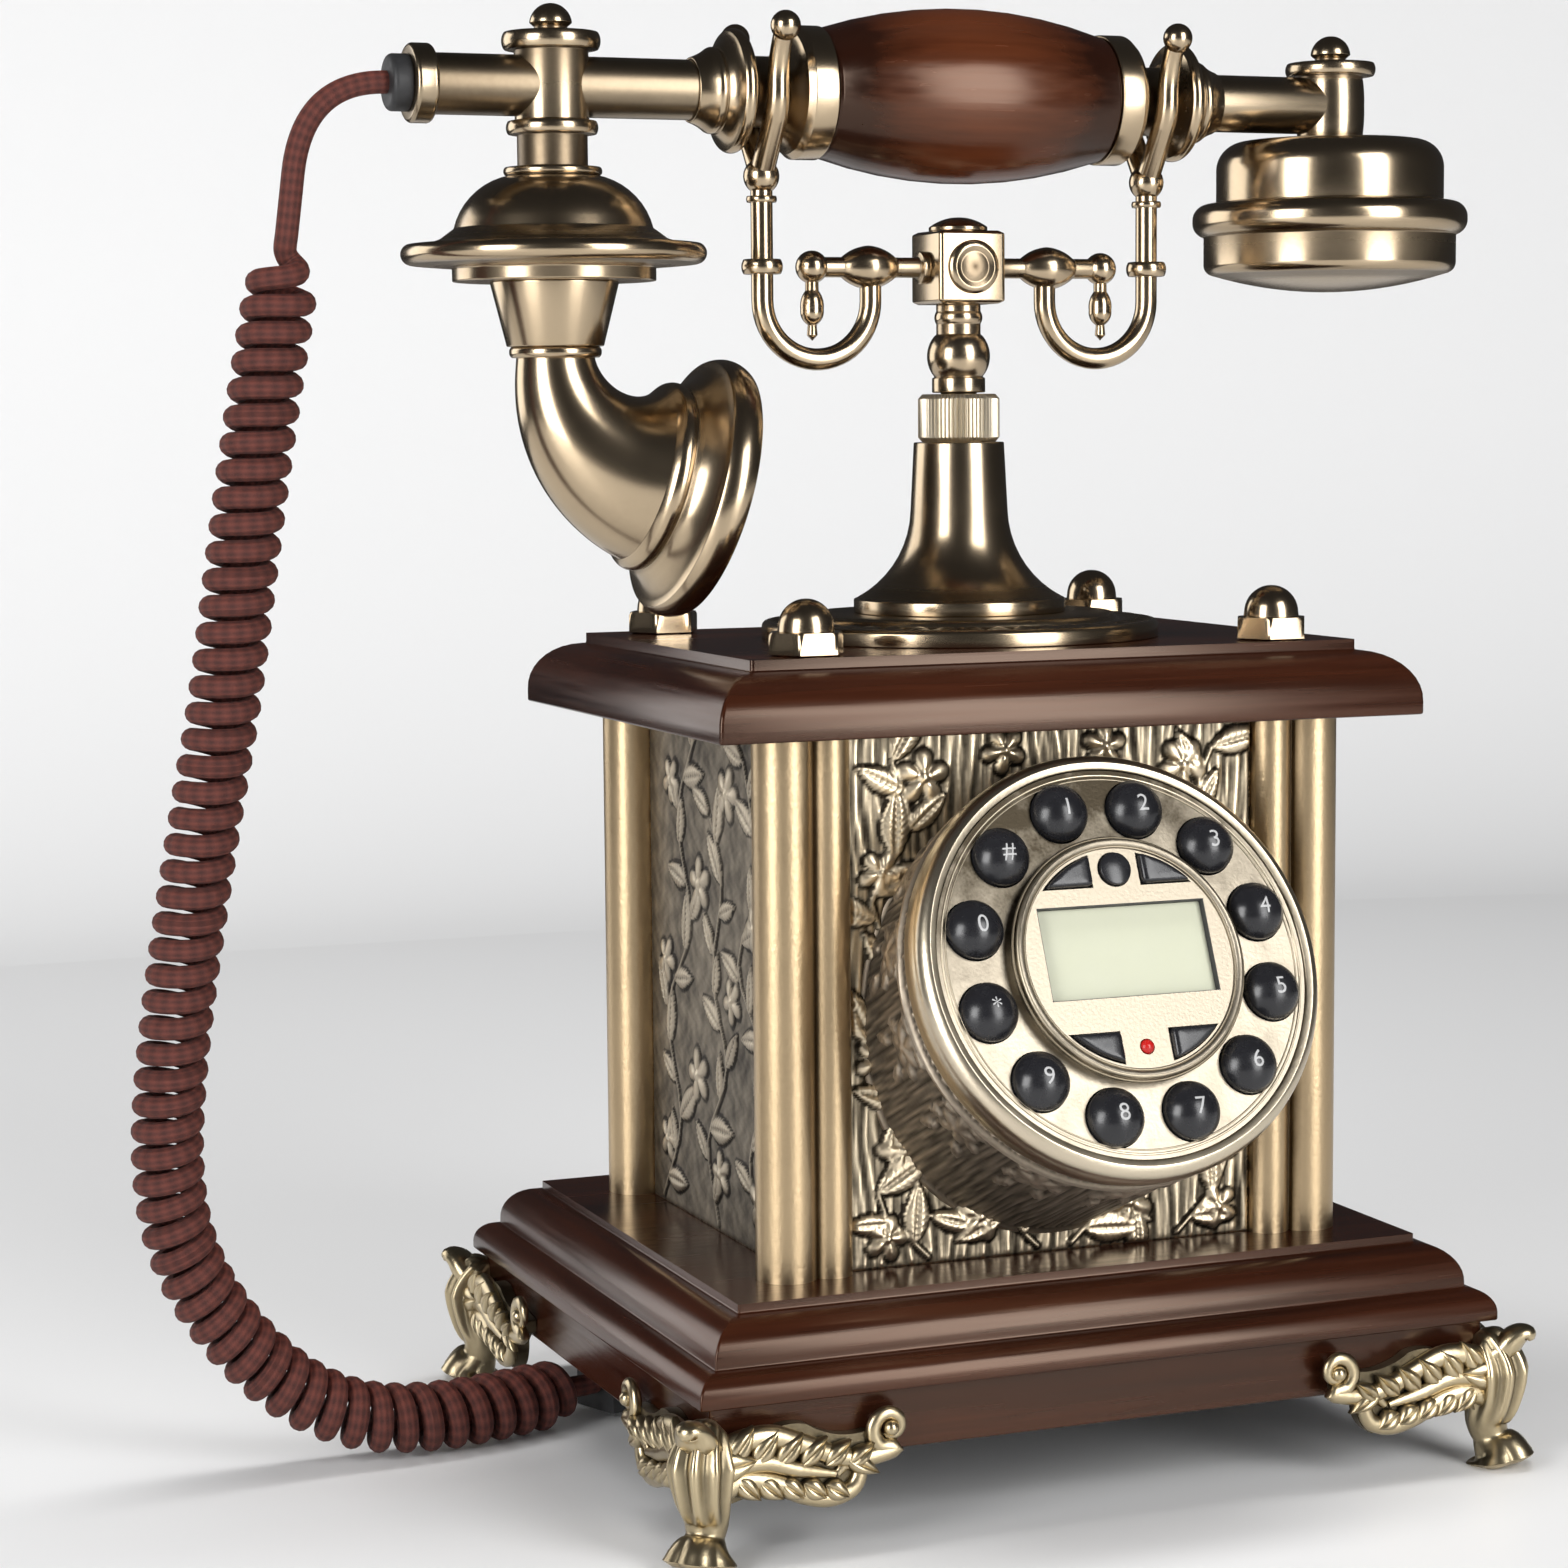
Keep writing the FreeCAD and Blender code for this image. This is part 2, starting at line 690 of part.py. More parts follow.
def make_cradle_arms():
    start = s.block_size / 2
    slim = s.arm_rod_radius
    near = s.olive_place - s.olive_half_length
    far = s.olive_place + s.olive_half_length
    bar = turned("arm_bar", [
        (0, start), (slim + 1.4, start), (slim + 1.4, start + 1.6), (slim, start + 2.0), (slim, near),
        (s.olive_radius, s.olive_place, 0.16), (slim, far, 0.16), (slim, s.arm_reach), (0, s.arm_reach)])
    place(bar, 0, 0, z_arm, **along_x)
    knob = ball("arm_ball", s.arm_ball_radius, s.arm_reach, 0, z_arm)
    long = s.drop_length
    drop = turned("arm_drop", [
        (0, -s.arm_ball_radius - long), (1.2, -s.arm_ball_radius - long * 0.9),
        (1.0, -s.arm_ball_radius - long * 0.72), (2.6, -s.arm_ball_radius - long * 0.45, 0.3),
        (1.5, -s.arm_ball_radius - long * 0.12, 0.2), (1.5, 0), (0, 0)])
    place(drop, s.arm_reach, 0, z_arm)
    right = fused("arm_right", bar, knob, drop)
    keep("cradle_arms", grouped("cradle_arms", right, mirrored("arm_left", right, Vector(1, 0, 0))))


# Right hook: bent tube from under the olive, collar ring, and a fork that holds the neck
def make_hooks():
    out = s.hook_reach
    inner = out - s.hook_bend * 2
    turn_height = z_arm - s.hook_leg
    knuckle = z_handset - s.knuckle_drop
    start = z_arm - s.olive_radius * 0.7
    quarter = math.tan(math.pi / 8)
    tube = piped("hook_tube", "XZ_Plane", [
        (inner, start), (inner, turn_height), (inner + s.hook_bend, turn_height - s.hook_bend, quarter),
        (out, turn_height, quarter), (out, knuckle)], s.hook_tube_radius, (inner, 0, start))
    ring = turned("hook_ring", [
        (0, 0), (s.hook_ring_radius - 0.6, 0), (s.hook_ring_radius - 0.6, s.hook_ring_height, 0.3),
        (0, s.hook_ring_height)])
    place(ring, out, 0, z_arm - s.hook_ring_height / 2)
    knob = ball("hook_knuckle", s.knuckle_radius, out, 0, knuckle)
    seat = s.neck_radius + s.prong_gap + s.prong_radius
    sine = seat / s.knuckle_drop
    cosine = (1 - sine * sine).root()
    flare = math.radians(40.0)
    tip_y = seat + s.prong_flare * (1 - math.cos(flare))
    tip_z = z_handset + s.prong_flare * math.sin(flare)
    lean = math.degrees(math.asin(sine.value))
    prong = piped("hook_prong", "YZ_Plane", [
        (0, knuckle), (seat * cosine, z_handset - seat * sine), (seat, z_handset, seat),
        (tip_y, tip_z, -s.prong_flare)], s.prong_radius, (0, 0, knuckle), lean)
    place(prong, out, 0, 0)
    tip = ball("hook_tip", s.prong_ball_radius, out, tip_y, tip_z)
    half = fused("hook_half_fork", prong, tip)
    other = mirrored("hook_other_fork", half, Vector(0, 1, 0))
    right = fused("right_hook", tube, ring, knob, half, other)
    keep("right_hook", right)
    keep("left_hook", mirrored("left_hook", right, Vector(1, 0, 0)))


# Bracket, switch and spring under the top board
def make_switch():
    drop = s.switch_drop
    thin = s.switch_plate
    legs = [block(f"switch_leg_{side}", thin, s.switch_depth, drop, side * (s.switch_width - thin) / 2, 0,
                  z_column - drop) for side in (-1, 1)]
    shelf = block("switch_shelf", s.switch_width, s.switch_depth, thin, 0, 0, z_column - drop)
    lever = block("switch_body", 5.0, s.switch_depth - 2, drop * 0.3, s.switch_width / 2 - thin - 2.5, 0,
                  z_column - drop + thin)
    keep("hook_switch", fused("hook_switch", *legs, shelf, lever))
    low = z_column - drop + thin + s.spring_gap + s.spring_wire
    high = z_column - s.stem_drop - s.spring_gap - s.spring_wire
    helix = add("Part::Helix", "spring_path", Radius=s.spring_radius, Height=high - low,
                Pitch=(high - low) / 4)
    place(helix, 0, 0, low)
    wire = add("Part::Circle", "spring_wire", Radius=s.spring_wire)
    place(wire, s.spring_radius, 0, low, Vector(1, 0, 0), 90)
    sweep = add("Part::Sweep", "hook_spring")
    sweep.Sections = [wire]
    sweep.Spine = (helix, ["Edge1"])
    sweep.Solid = True
    sweep.Frenet = True
    keep("hook_spring", sweep)


# Dial pieces are drawn about their own axis and leaned back with the dial
lean_cos = math.cos(math.radians(driving["dial_tilt"]))
lean_sin = math.sin(math.radians(driving["dial_tilt"]))


def on_dial(thing, x=0, y=0, z=0, spin=0.0):
    y, z = sized(y), sized(z)
    place(thing, x, y * lean_sin - z * lean_cos - s.dial_forward,
          y * lean_cos + z * lean_sin + s.dial_centre_height)
    lean = Rotation(Vector(1, 0, 0), 90 - driving["dial_tilt"])
    thing.Placement = Placement(thing.Placement.Base, lean * Rotation(Vector(0, 0, 1), spin))
    return thing


def dial_turned(label, points):
    return on_dial(turned(label, points))


def dial_block(label, long, wide, high, y, z):
    box = add("Part::Box", label, Length=long, Width=wide, Height=high)
    return on_dial(box, -sized(long) / 2, y - sized(wide) / 2, z)


def function_outline(grow, right, up):
    low = s.function_low - grow
    near = s.function_left - grow
    circle = s.function_circle + grow
    far = (circle * circle - low * low).root()
    high = (circle * circle - near * near).root()
    bend = circle if right * up > 0 else -circle
    return [(near * right, low * up), (far * right, low * up), (near * right, high * up, bend)]


corner_keys = {"flash_key": (-1, 1), "memory_key": (1, 1), "volume_key": (-1, -1), "set_key": (1, -1)}
dial_keys = ["key_1", "key_2", "key_3", "key_4", "key_5", "key_6",
             "key_7", "key_8", "key_9", "key_star", "key_0", "key_hash"]


def key_spot(number):
    angle = math.radians(30.0 * number - 15.0)
    return s.key_circle * math.sin(angle), s.key_circle * math.cos(angle)


def make_dial():
    rim = s.bezel_radius
    drum = s.drum_radius
    front = -s.drum_front
    hole = drum - s.drum_wall
    deep = -(s.board_depth + s.board_thickness)
    tube = dial_turned("drum_tube", [
        (hole, front), (drum, front), (drum, -s.dial_forward), (hole, -s.dial_forward),
        (hole, deep - s.board_ledge), (hole - s.board_ledge, deep), (hole, deep)])
    behind = block("drum_trim", drum * 4, s.dial_forward * 2, drum * 6, 0,
                   s.panel_thickness - front_face + s.dial_forward, 0)
    keep("dial_housing", cut("dial_housing", tube, behind))
    seat = -s.dial_plate_drop - s.dial_plate_thickness
    edge = s.dial_plate_radius + s.panel_gap
    keep("dial_bezel", dial_turned("dial_bezel", [
        (hole, front), (drum, front), (rim, front * 0.72, 0.2), (rim, front * 0.4, 0.12),
        (edge + 1.4, seat + 2.8, 0.35), (edge, seat + 2.4), (edge, seat), (edge - 1.6, seat),
        (hole - 1.0, front * 0.7), (hole, front * 0.85)]))
    make_dial_plate(seat)
    board = dial_turned("key_board", [
        (0, deep), (hole - s.panel_gap, deep), (hole - s.panel_gap, -s.board_depth), (0, -s.board_depth)])
    return board


def make_dial_plate(seat):
    level = -s.dial_plate_drop
    disc = s.disc_radius
    high = s.disc_rise
    low = high - s.dial_plate_thickness
    blank = dial_turned("plate_blank", [
        (0, low), (disc - s.disc_wall, low), (disc - s.disc_wall, seat), (s.dial_plate_radius, seat),
        (s.dial_plate_radius, level), (disc, level), (disc, high),
        (disc - s.trim_width * 0.2, high + s.trim_rise, 0.3), (disc - s.trim_width, high, 0.3), (0, high)])
    tools = []
    for number, name in enumerate(dial_keys):
        x, y = key_spot(number)
        hole = add("Part::Cylinder", f"{name}_hole", Radius=s.key_radius + s.key_gap, Height=12)
        tools.append(on_dial(hole, x, y, -9))
    for name, (right, up) in corner_keys.items():
        hole = prism(f"{name}_hole", "XY_Plane", function_outline(s.key_gap, right, up), 24)
        tools.append(on_dial(hole))
    centre_hole = add("Part::Cylinder", "redial_hole", Radius=s.round_key_radius + s.key_gap, Height=24)
    tools.append(on_dial(centre_hole, 0, s.lamp_place, -12))
    lamp_hole = add("Part::Cylinder", "lamp_hole", Radius=s.lamp_radius + s.display_gap, Height=24)
    tools.append(on_dial(lamp_hole, 0, -s.lamp_place, -12))
    tools.append(dial_block("display_window", s.display_width, s.display_height, 24, s.display_lift, -12))
    keep("dial_plate", cut("dial_plate", blank, grouped("plate_openings", *tools)))
    glass = dial_block("display_glass", s.display_width - s.display_gap * 2,
                       s.display_height - s.display_gap * 2, 1.2, s.display_lift, low - 1.0)
    carrier = dial_block("display_carrier", s.display_width + s.carrier_rim * 2,
                         s.display_height + s.carrier_rim * 2, 2.5, s.display_lift, low - 2.5)
    keep("display", fused("display", glass, carrier))
    lamp = turned("indicator_led", [
        (0, low - 3), (s.lamp_radius + 0.8, low - 3), (s.lamp_radius + 0.8, low), (s.lamp_radius, low),
        (s.lamp_radius, high + 0.2), (0, high + 1.2, cap_radius(s.lamp_radius, 1.0))])
    keep("indicator_led", on_dial(lamp, 0, -s.lamp_place))


def make_keys():
    for number, name in enumerate(dial_keys):
        x, y = key_spot(number)
        wide = s.key_radius
        low = -s.key_foot
        key = turned(name, [
            (0, low), (wide + 0.6, low), (wide + 0.6, low + s.key_flange), (wide, low + s.key_flange),
            (wide, s.key_top - s.key_dome), (0, s.key_top, cap_radius(wide, s.key_dome))])
        keep(name, on_dial(key, x, y))
    tall = s.function_foot + s.function_top
    for name, (right, up) in corner_keys.items():
        key = prism(name, "XY_Plane", function_outline(0, right, up), tall, both=False)
        keep(name, on_dial(key, 0, 0, -s.function_foot))
    redial = turned("redial_key", [
        (0, -s.function_foot), (s.round_key_radius, -s.function_foot),
        (s.round_key_radius, s.function_top - 0.6),
        (0, s.function_top, cap_radius(s.round_key_radius, 0.6))])
    keep("redial_key", on_dial(redial, 0, s.lamp_place))


# Boards, sounder and line socket in the hollow base
def make_inside(key_board):
    ringer_x = band_x - s.base_wall - s.ringer_gap - s.ringer_radius
    board_x = ringer_x - s.ringer_radius - s.board_gap - s.main_board_length / 2
    board = block("main_board", s.main_board_length, s.main_board_depth, s.board_thickness,
                  board_x, 0, z_cover + s.board_lift)
    pillars = [rod(f"board_pillar_{side}_{end}", 3.0, s.board_lift + s.board_thickness / 2,
                   board_x + side * (s.main_board_length / 2 - 5),
                   end * (s.main_board_depth / 2 - 5), z_cover)
               for side in (-1, 1) for end in (-1, 1)]
    main = fused("main_board_set", board, *pillars)
    keep("circuit_boards", grouped("circuit_boards", key_board, main))
    ringer = turned("ringer", [
        (0, 0), (s.ringer_radius, 0), (s.ringer_radius, s.ringer_height * 0.7),
        (s.ringer_radius - 2, s.ringer_height, 0.3), (3, s.ringer_height), (3, s.ringer_height * 0.6),
        (0, s.ringer_height * 0.6)])
    keep("ringer", place(ringer, ringer_x, 0, z_cover))
    body = block("jack_body", s.jack_width, s.jack_length, s.jack_height, s.jack_place,
                 band_y - s.jack_length / 2, z_cover)
    socket = block("jack_socket", s.socket_width, s.socket_depth * 2, s.socket_height, s.jack_place,
                   band_y, z_cover + (s.jack_height - s.socket_height) / 2)
    keep("line_jack", cut("line_jack", body, socket))


# Handset pieces turned about the long axis
def make_grip():
    half = s.grip_half_length
    wall = s.tube_radius + s.tube_fit
    end = s.grip_end_radius
    swell = (s.grip_radius - end).value / half.value
    grip = turned("handset_grip", [(wall, -half), (end, -half), (end, half, swell), (wall, half)])
    keep("handset_grip", place(grip, 0, 0, z_handset, **along_x))
    neck = s.neck_radius
    cup = s.ferrule_radius
    wide = s.flange_radius
    collar = turned("collar_right", [
        (wall, half), (cup, half), (cup, half + 5.4), (cup - 1.2, half + 6.8),
        (neck + 1.4, half + 9.5, -0.15), (neck, half + 9.5), (neck, half + 16.4),
        (neck + 1.2, half + 16.8), (wide - 0.8, half + 18.4, -0.15),
        (wide - 0.6, half + 21.2, 0.5), (neck + 1.8, half + 23.6, -0.15), (neck + 1.4, half + 23.8),
        (neck + 1.4, half + 25.6, 0.3), (wall + 0.5, half + 29.6, -0.1), (wall, half + 29.6)])
    place(collar, 0, 0, z_handset, **along_x)
    keep("grip_collars", grouped("grip_collars", collar,
                                 mirrored("collar_left", collar, Vector(1, 0, 0))))
    tube = s.tube_radius
    hole = tube - s.tube_wall
    start = half - s.tube_tenon
    stop = s.ear_place - 2
    right = turned("tube_right", [(hole, start), (tube, start), (tube, stop), (hole, stop)])
    place(right, 0, 0, z_handset, **along_x)
    ring = s.end_ring_radius
    last = s.tube_end
    first = last - s.end_ring_width
    left = turned("tube_left", [
        (hole, start), (tube, start), (tube, first), (ring - 0.8, first), (ring, first + 1.2, 0.4),
        (ring, last - 1.2), (ring - 0.8, last, 0.4), (hole, last)])
    place(left, 0, 0, z_handset, axis=Vector(0, 1, 0), angle=-90.0)
    keep("handset_tubes", grouped("handset_tubes", right, left))
    thick = s.plug_radius
    end = last + s.plug_length
    plug = turned("cord_plug", [
        (0, last - 6), (hole - 0.1, last - 6), (hole - 0.1, last), (thick, last), (thick, end - 1.2),
        (thick - 1.2, end, 0.4), (0, end)])
    keep("cord_plug", place(plug, 0, 0, z_handset, axis=Vector(0, 1, 0), angle=-90.0))


def cross_bore(label, x, long):
    bore = rod(label, s.tube_radius + s.tube_fit, long)
    return place(bore, x, 0, z_handset, **along_x)


def make_mouth():
    spot = -s.mouth_place
    tee = turned("tee_blank", [
        (0, -7.4), (8, -7.4), (8, 7.7), (10.1, 7.7), (10.1, 11.4, 0.3), (4.2, 11.4), (3.4, 12.4),
        (4.6, 13.4), (0, 17.6, cap_radius(4.6, 4.2))])
    place(tee, spot, 0, z_handset)
    keep("mouth_tee", cut("mouth_tee", tee, cross_bore("tee_bore", spot - 20, 40)))
    disc = s.saucer_radius
    low = -s.saucer_drop
    roof = low + 13.5
    dome = -s.dome_drop
    cap = turned("mouth_cap", [
        (3, roof), (13, roof), (13, low), (22, low), (22, low + 2.9), (disc - 1.8, low + 3.6),
        (disc - 0.6, low + 7.9, 0.8), (24.5, low + 9.1, -0.12), (21.5, low + 11.3), (9.4, dome, 0.3),
        (10.3, dome), (10.3, dome + 1.7, 0.4), (7.6, dome + 1.7), (7.6, -10.2), (9.5, -10.2),
        (9.5, -7.4, 0.3), (3, -7.4)])
    keep("mouth_cap", place(cap, spot, 0, z_handset))
    capsule = turned("microphone", [
        (0, roof - 6), (11.6, roof - 6), (12.4, roof - 5, 0.4), (12.4, roof), (0, roof)])
    keep("microphone", place(capsule, spot, 0, z_handset))
    make_horn(spot)


def make_horn(spot):
    wall = s.horn_wall
    slim = s.horn_small_radius
    waist = -s.horn_drop
    collar = turned("horn_collar", [
        (slim - wall, waist), (slim + 0.9, waist), (slim + 1.5, waist + 1.2, 0.3),
        (slim + 0.9, waist + 2.4, 0.3), (slim + 2, waist + 2.4), (14, -s.saucer_drop),
        (14 - wall, -s.saucer_drop), (slim - wall, waist + 2.8)])
    place(collar, spot, 0, z_handset)
    steps = 6
    skins = {"outer": 0, "inner": -wall}
    lofts = {}
    for skin, less in skins.items():
        rings = []
        for step in range(steps + 1):
            angle = math.radians(driving["horn_turn"]) * step / steps
            grow = (step / steps) ** 1.25
            radius = slim + (s.horn_large_radius - slim) * grow + less
            ring = add("Part::Circle", f"horn_{skin}_{step}", Radius=radius)
            place(ring, spot + s.horn_bend * (1 - math.cos(angle)), 0,
                  z_handset + waist - s.horn_bend * math.sin(angle), Vector(0, 1, 0),
                  180 - math.degrees(angle))
            rings.append(ring)
        loft = add("Part::Loft", f"horn_{skin}")
        loft.Sections = rings
        loft.Solid = True
        lofts[skin] = loft
    bend = cut("horn_bent", lofts["outer"], lofts["inner"])
    keep("horn", fused("horn", collar, bend))
    turn = math.radians(driving["horn_turn"])
    big = s.horn_large_radius
    rim = s.bell_radius
    long = s.bell_length
    bell = turned("horn_bell", [
        (big - wall, 0), (big, 0), (big + 1.2, long * 0.06), (big + 1.2, long * 0.28, 0.35),
        (big + 2.2, long * 0.32), (rim - 1.4, long * 0.56, -0.12), (rim - 0.2, long * 0.58),
        (rim - 0.2, long, 0.35), (rim - 3.6, long), (rim - 4.6, long * 0.86, -0.2),
        (big - wall, long * 0.2, 0.16)])
    place(bell, spot + s.horn_bend * (1 - math.cos(turn)), 0,
          z_handset + waist - s.horn_bend * math.sin(turn), Vector(0, 1, 0), 180 - driving["horn_turn"])
    keep("horn_bell", bell)


def make_ear():
    spot = s.ear_place
    tower = turned("tower_blank", [
        (0, -8), (7.4, -8), (7.9, 0, 0.05), (7.4, 6.9, 0.05), (10, 6.9), (10, 9.9, 0.3), (4.2, 9.9),
        (3.4, 10.8), (4.6, 11.8), (0, 16.2, cap_radius(4.6, 4.4))])
    place(tower, spot, 0, z_handset)
    keep("ear_tower", cut("ear_tower", tower, cross_bore("tower_bore", spot - 22, 20.5)))
    wide = s.cup_radius
    wall = s.cup_wall
    seam = -s.cup_drop
    cup = turned("earpiece_cup", [
        (3, -10), (wide - wall - 6, -10), (wide - wall, seam + 7.8, -0.35), (wide - wall, seam), (wide, seam),
        (wide, seam + 8.2), (wide - 6, -8, 0.38), (3, -8)])
    keep("earpiece_cup", place(cup, spot, 0, z_handset))
    bead = s.bead_radius
    rim = s.rim_radius
    face = -s.ear_cap_drop
    ledge = seam - 8.6
    cap = turned("earpiece_cap", [
        (wide - wall, seam), (wide - wall, ledge), (wide - 5, ledge), (wide - 5, face + 5.6),
        (0, face + 2.4, -cap_radius(wide - 5, 3.2)), (0, face),
        (rim - 2.2, face + 4.1, cap_radius(rim - 2.2, 4.1)), (rim, face + 6.4, 0.35),
        (rim, seam - 7.6), (bead, seam - 3.8, 0.38), (wide + 2.6, seam, 0.38)])
    keep("earpiece_cap", place(cap, spot, 0, z_handset))
    capsule = turned("receiver", [
        (0, ledge), (wide - wall - 0.3, ledge), (wide - wall - 0.3, seam - 2.6), (wide - 9, seam - 1.6, 0.2),
        (0, seam - 1.6)])
    keep("receiver", place(capsule, spot, 0, z_handset))


# Coiled handset cord: smooth tail from the plug, then curls down and under the base
def rounded_path(points, radius):
    edges = []
    here = points[0]
    for before, corner, after in zip(points, points[1:], points[2:]):
        into = (corner - before).normalize()
        out = (after - corner).normalize()
        half = into.getAngle(out) / 2
        reach = radius * math.tan(half)
        begin = corner - into * reach
        end = corner + out * reach
        inward = (out - into).normalize()
        middle = corner + inward * (radius / math.cos(half) - radius)
        edges += [Part.LineSegment(here, begin), Part.Arc(begin, middle, end)]
        here = end
    edges.append(Part.LineSegment(here, points[-1]))
    return edges


def tube_along(label, edges, radius, start, heading):
    wire = Part.Wire([edge.toShape() for edge in edges])
    section = Part.Wire([Part.Circle(start, heading, radius).toShape()])
    shell = Part.BRepOffsetAPI.MakePipeShell(wire)
    shell.add(section)
    shell.build()
    shell.makeSolid()
    solid = shell.shape()
    expected = math.pi * radius ** 2 * wire.Length
    print(f"{label}: length {wire.Length:.0f}, volume ratio {solid.Volume / expected:.4f}")
    thing = doc.addObject("Part::Feature", label)
    thing.Shape = solid
    return keep(label, thing)


def biarc(first, first_way, last, last_way):
    span = last - first
    ways = first_way + last_way
    spare = 2 * (1 - first_way.dot(last_way))
    lead = span.dot(ways)
    if spare < 1e-9:
        reach = span.dot(span) / (2 * lead)
    else:
        reach = (-lead + math.sqrt(lead * lead + spare * span.dot(span))) / spare
    joint = (first + last + (first_way - last_way) * reach) * 0.5
    edges = []
    for begin, way, end, sign in ((first, first_way, joint, 1), (last, last_way, joint, -1)):
        chord = end - begin
        ahead = way * sign
        sideways = ahead - chord * (ahead.dot(chord) / chord.dot(chord))
        if sideways.Length < 1e-6:
            edges.append(Part.LineSegment(begin, end) if sign > 0 else Part.LineSegment(end, begin))
            continue
        lift = chord.Length / 2 * math.tan(ahead.getAngle(chord) / 2)
        middle = begin + chord * 0.5 + sideways.normalize() * lift
        edges.append(Part.Arc(begin, middle, end) if sign > 0 else Part.Arc(end, middle, begin))
    return edges


def coil_stations(axis, turns, radius, per_turn):
    count = turns * per_turn
    spine = axis.discretize(Number=count + 1)
    ways = [(spine[min(i + 1, count)] - spine[max(i - 1, 0)]).normalize() for i in range(count + 1)]
    side = Vector(0, 1, 0)
    stations = []
    for index, (spot, way) in enumerate(zip(spine, ways)):
        side = (side - way * side.dot(way)).normalize()
        turn = index / per_turn
        ramp = min(turn / 0.75, (turns - turn) / 0.75, 1.0)
        reach = radius * ramp * ramp * (3 - 2 * ramp)
        angle = 2 * math.pi * turn
        stations.append(spot + (side * math.cos(angle) + way.cross(side) * math.sin(angle)) * reach)
    return stations, ways


def least_gap(stations, per_turn, thickness):
    # compares each point with those between half a turn and two and a half turns further on
    apart = min((stations[i + j] - stations[i]).Length
                for i in range(0, len(stations) - per_turn * 5 // 2, 2)
                for j in range(per_turn // 2, per_turn * 5 // 2))
    return apart - thickness


def make_cord():
    thick = s.strand_radius.value
    axis_height = z_handset.value
    plug = Vector(-(s.tube_end + s.plug_length).value, 0, axis_height)
    down = Vector(-0.118, 0.05, -1.0).normalize()
    bend = s.tail_bend.value
    half = Vector(-1, 0, 0).getAngle(down) / 2
    corner = plug + Vector(-(s.tail_run.value + bend * math.tan(half)), 0, 0)
    coil_top = corner + down * 39.0
    coil_start = coil_top + down * s.cord_joint_gap.value
    print(f"cord tail bend radius {bend:.1f}")
    tail = rounded_path([plug, corner, coil_top], bend)
    tube_along("cord_tail", tail, thick, plug, Vector(-1, 0, 0))
    floor = s.coil_radius.value + thick + 0.5
    route = [coil_start + down * 4.6, Vector(-159.5, 3, 236), Vector(-164, 5, 205),
             Vector(-168, 7, 174), Vector(-171.8, 9.5, 152), Vector(-175, 12, 131), Vector(-178, 14.5, 110),
             Vector(-180.2, 17, 89), Vector(-180.8, 19, 73), Vector(-179, 20.5, 57),
             Vector(-173.6, 21.6, 43), Vector(-164.6, 22, 29.5), Vector(-152, 22, 17),
             Vector(-137, 21.6, floor + 1.6), Vector(-121, 22.2, floor), Vector(-106, 25, floor)]
    way_in = Vector(0.93, 0.37, 0).normalize()
    gland = Vector(-78, 35.4, floor)
    route += [gland - way_in * 14.0, gland - way_in * 4.6]
    axis = Part.BSplineCurve()
    axis.interpolate(route, InitialTangent=down, FinalTangent=way_in)
    per_turn = 24
    turns = int(s.coil_turns.value)
    stations, ways = coil_stations(axis, turns, s.coil_radius.value, per_turn)
    picks = [index for index in range(len(stations))
             if index % 12 == 0 or (index % 6 == 0 and min(index, len(stations) - 1 - index) < 30)]
    heads = [(stations[min(i + 1, len(stations) - 1)] - stations[max(i - 1, 0)]).normalize() for i in picks]
    heads[0], heads[-1] = ways[0], ways[-1]
    edges = [Part.LineSegment(coil_start, stations[0])]
    for number in range(len(picks) - 1):
        edges += biarc(stations[picks[number]], heads[number], stations[picks[number + 1]], heads[number + 1])
    edges.append(Part.LineSegment(stations[-1], gland))
    print(f"curly_cord: least gap {least_gap(stations, per_turn, thick * 2):.2f}")
    tube_along("curly_cord", edges, thick, coil_start, down)
    box = add("Part::Box", "cord_gland", Length=s.gland_length, Width=s.gland_width, Height=s.gland_height)
    spin = math.degrees(math.atan2(way_in.y, way_in.x))
    shift = Vector(way_in.y, -way_in.x, 0)
    place(box, gland.x + shift.x * (s.gland_width / 2), gland.y + shift.y * (s.gland_width / 2),
          z_plinth - s.gland_height, Vector(0, 0, 1), spin)
    keep("cord_gland", box)


make_base()
make_feet()
make_column()
make_top()
make_pedestal()
make_stem()
make_cradle_arms()
make_hooks()
make_switch()
key_board_disc = make_dial()
make_keys()
make_inside(key_board_disc)
make_grip()
make_mouth()
make_ear()
make_cord()
doc.recompute()

# Checks before writing
for thing in doc.Objects:
    if "Invalid" in thing.State or "Error" in thing.State:
        raise RuntimeError(f"{thing.Label} failed: {thing.State}")
os.makedirs("parts", exist_ok=True)
for label, thing in nodes.items():
    if thing.Shape.isNull() or not thing.Shape.isValid() or not thing.Shape.Solids:
        raise RuntimeError(f"{label} has no sound shape")
    thing.Shape.exportStep(f"parts/{label}.step")
print(f"{len(nodes)} nodes written")
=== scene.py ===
from math import acos, asin, atan, atan2, cos, pi, radians, sin, sqrt, tan

import bmesh
import bpy
import numpy as np
from mathutils import Matrix, Vector


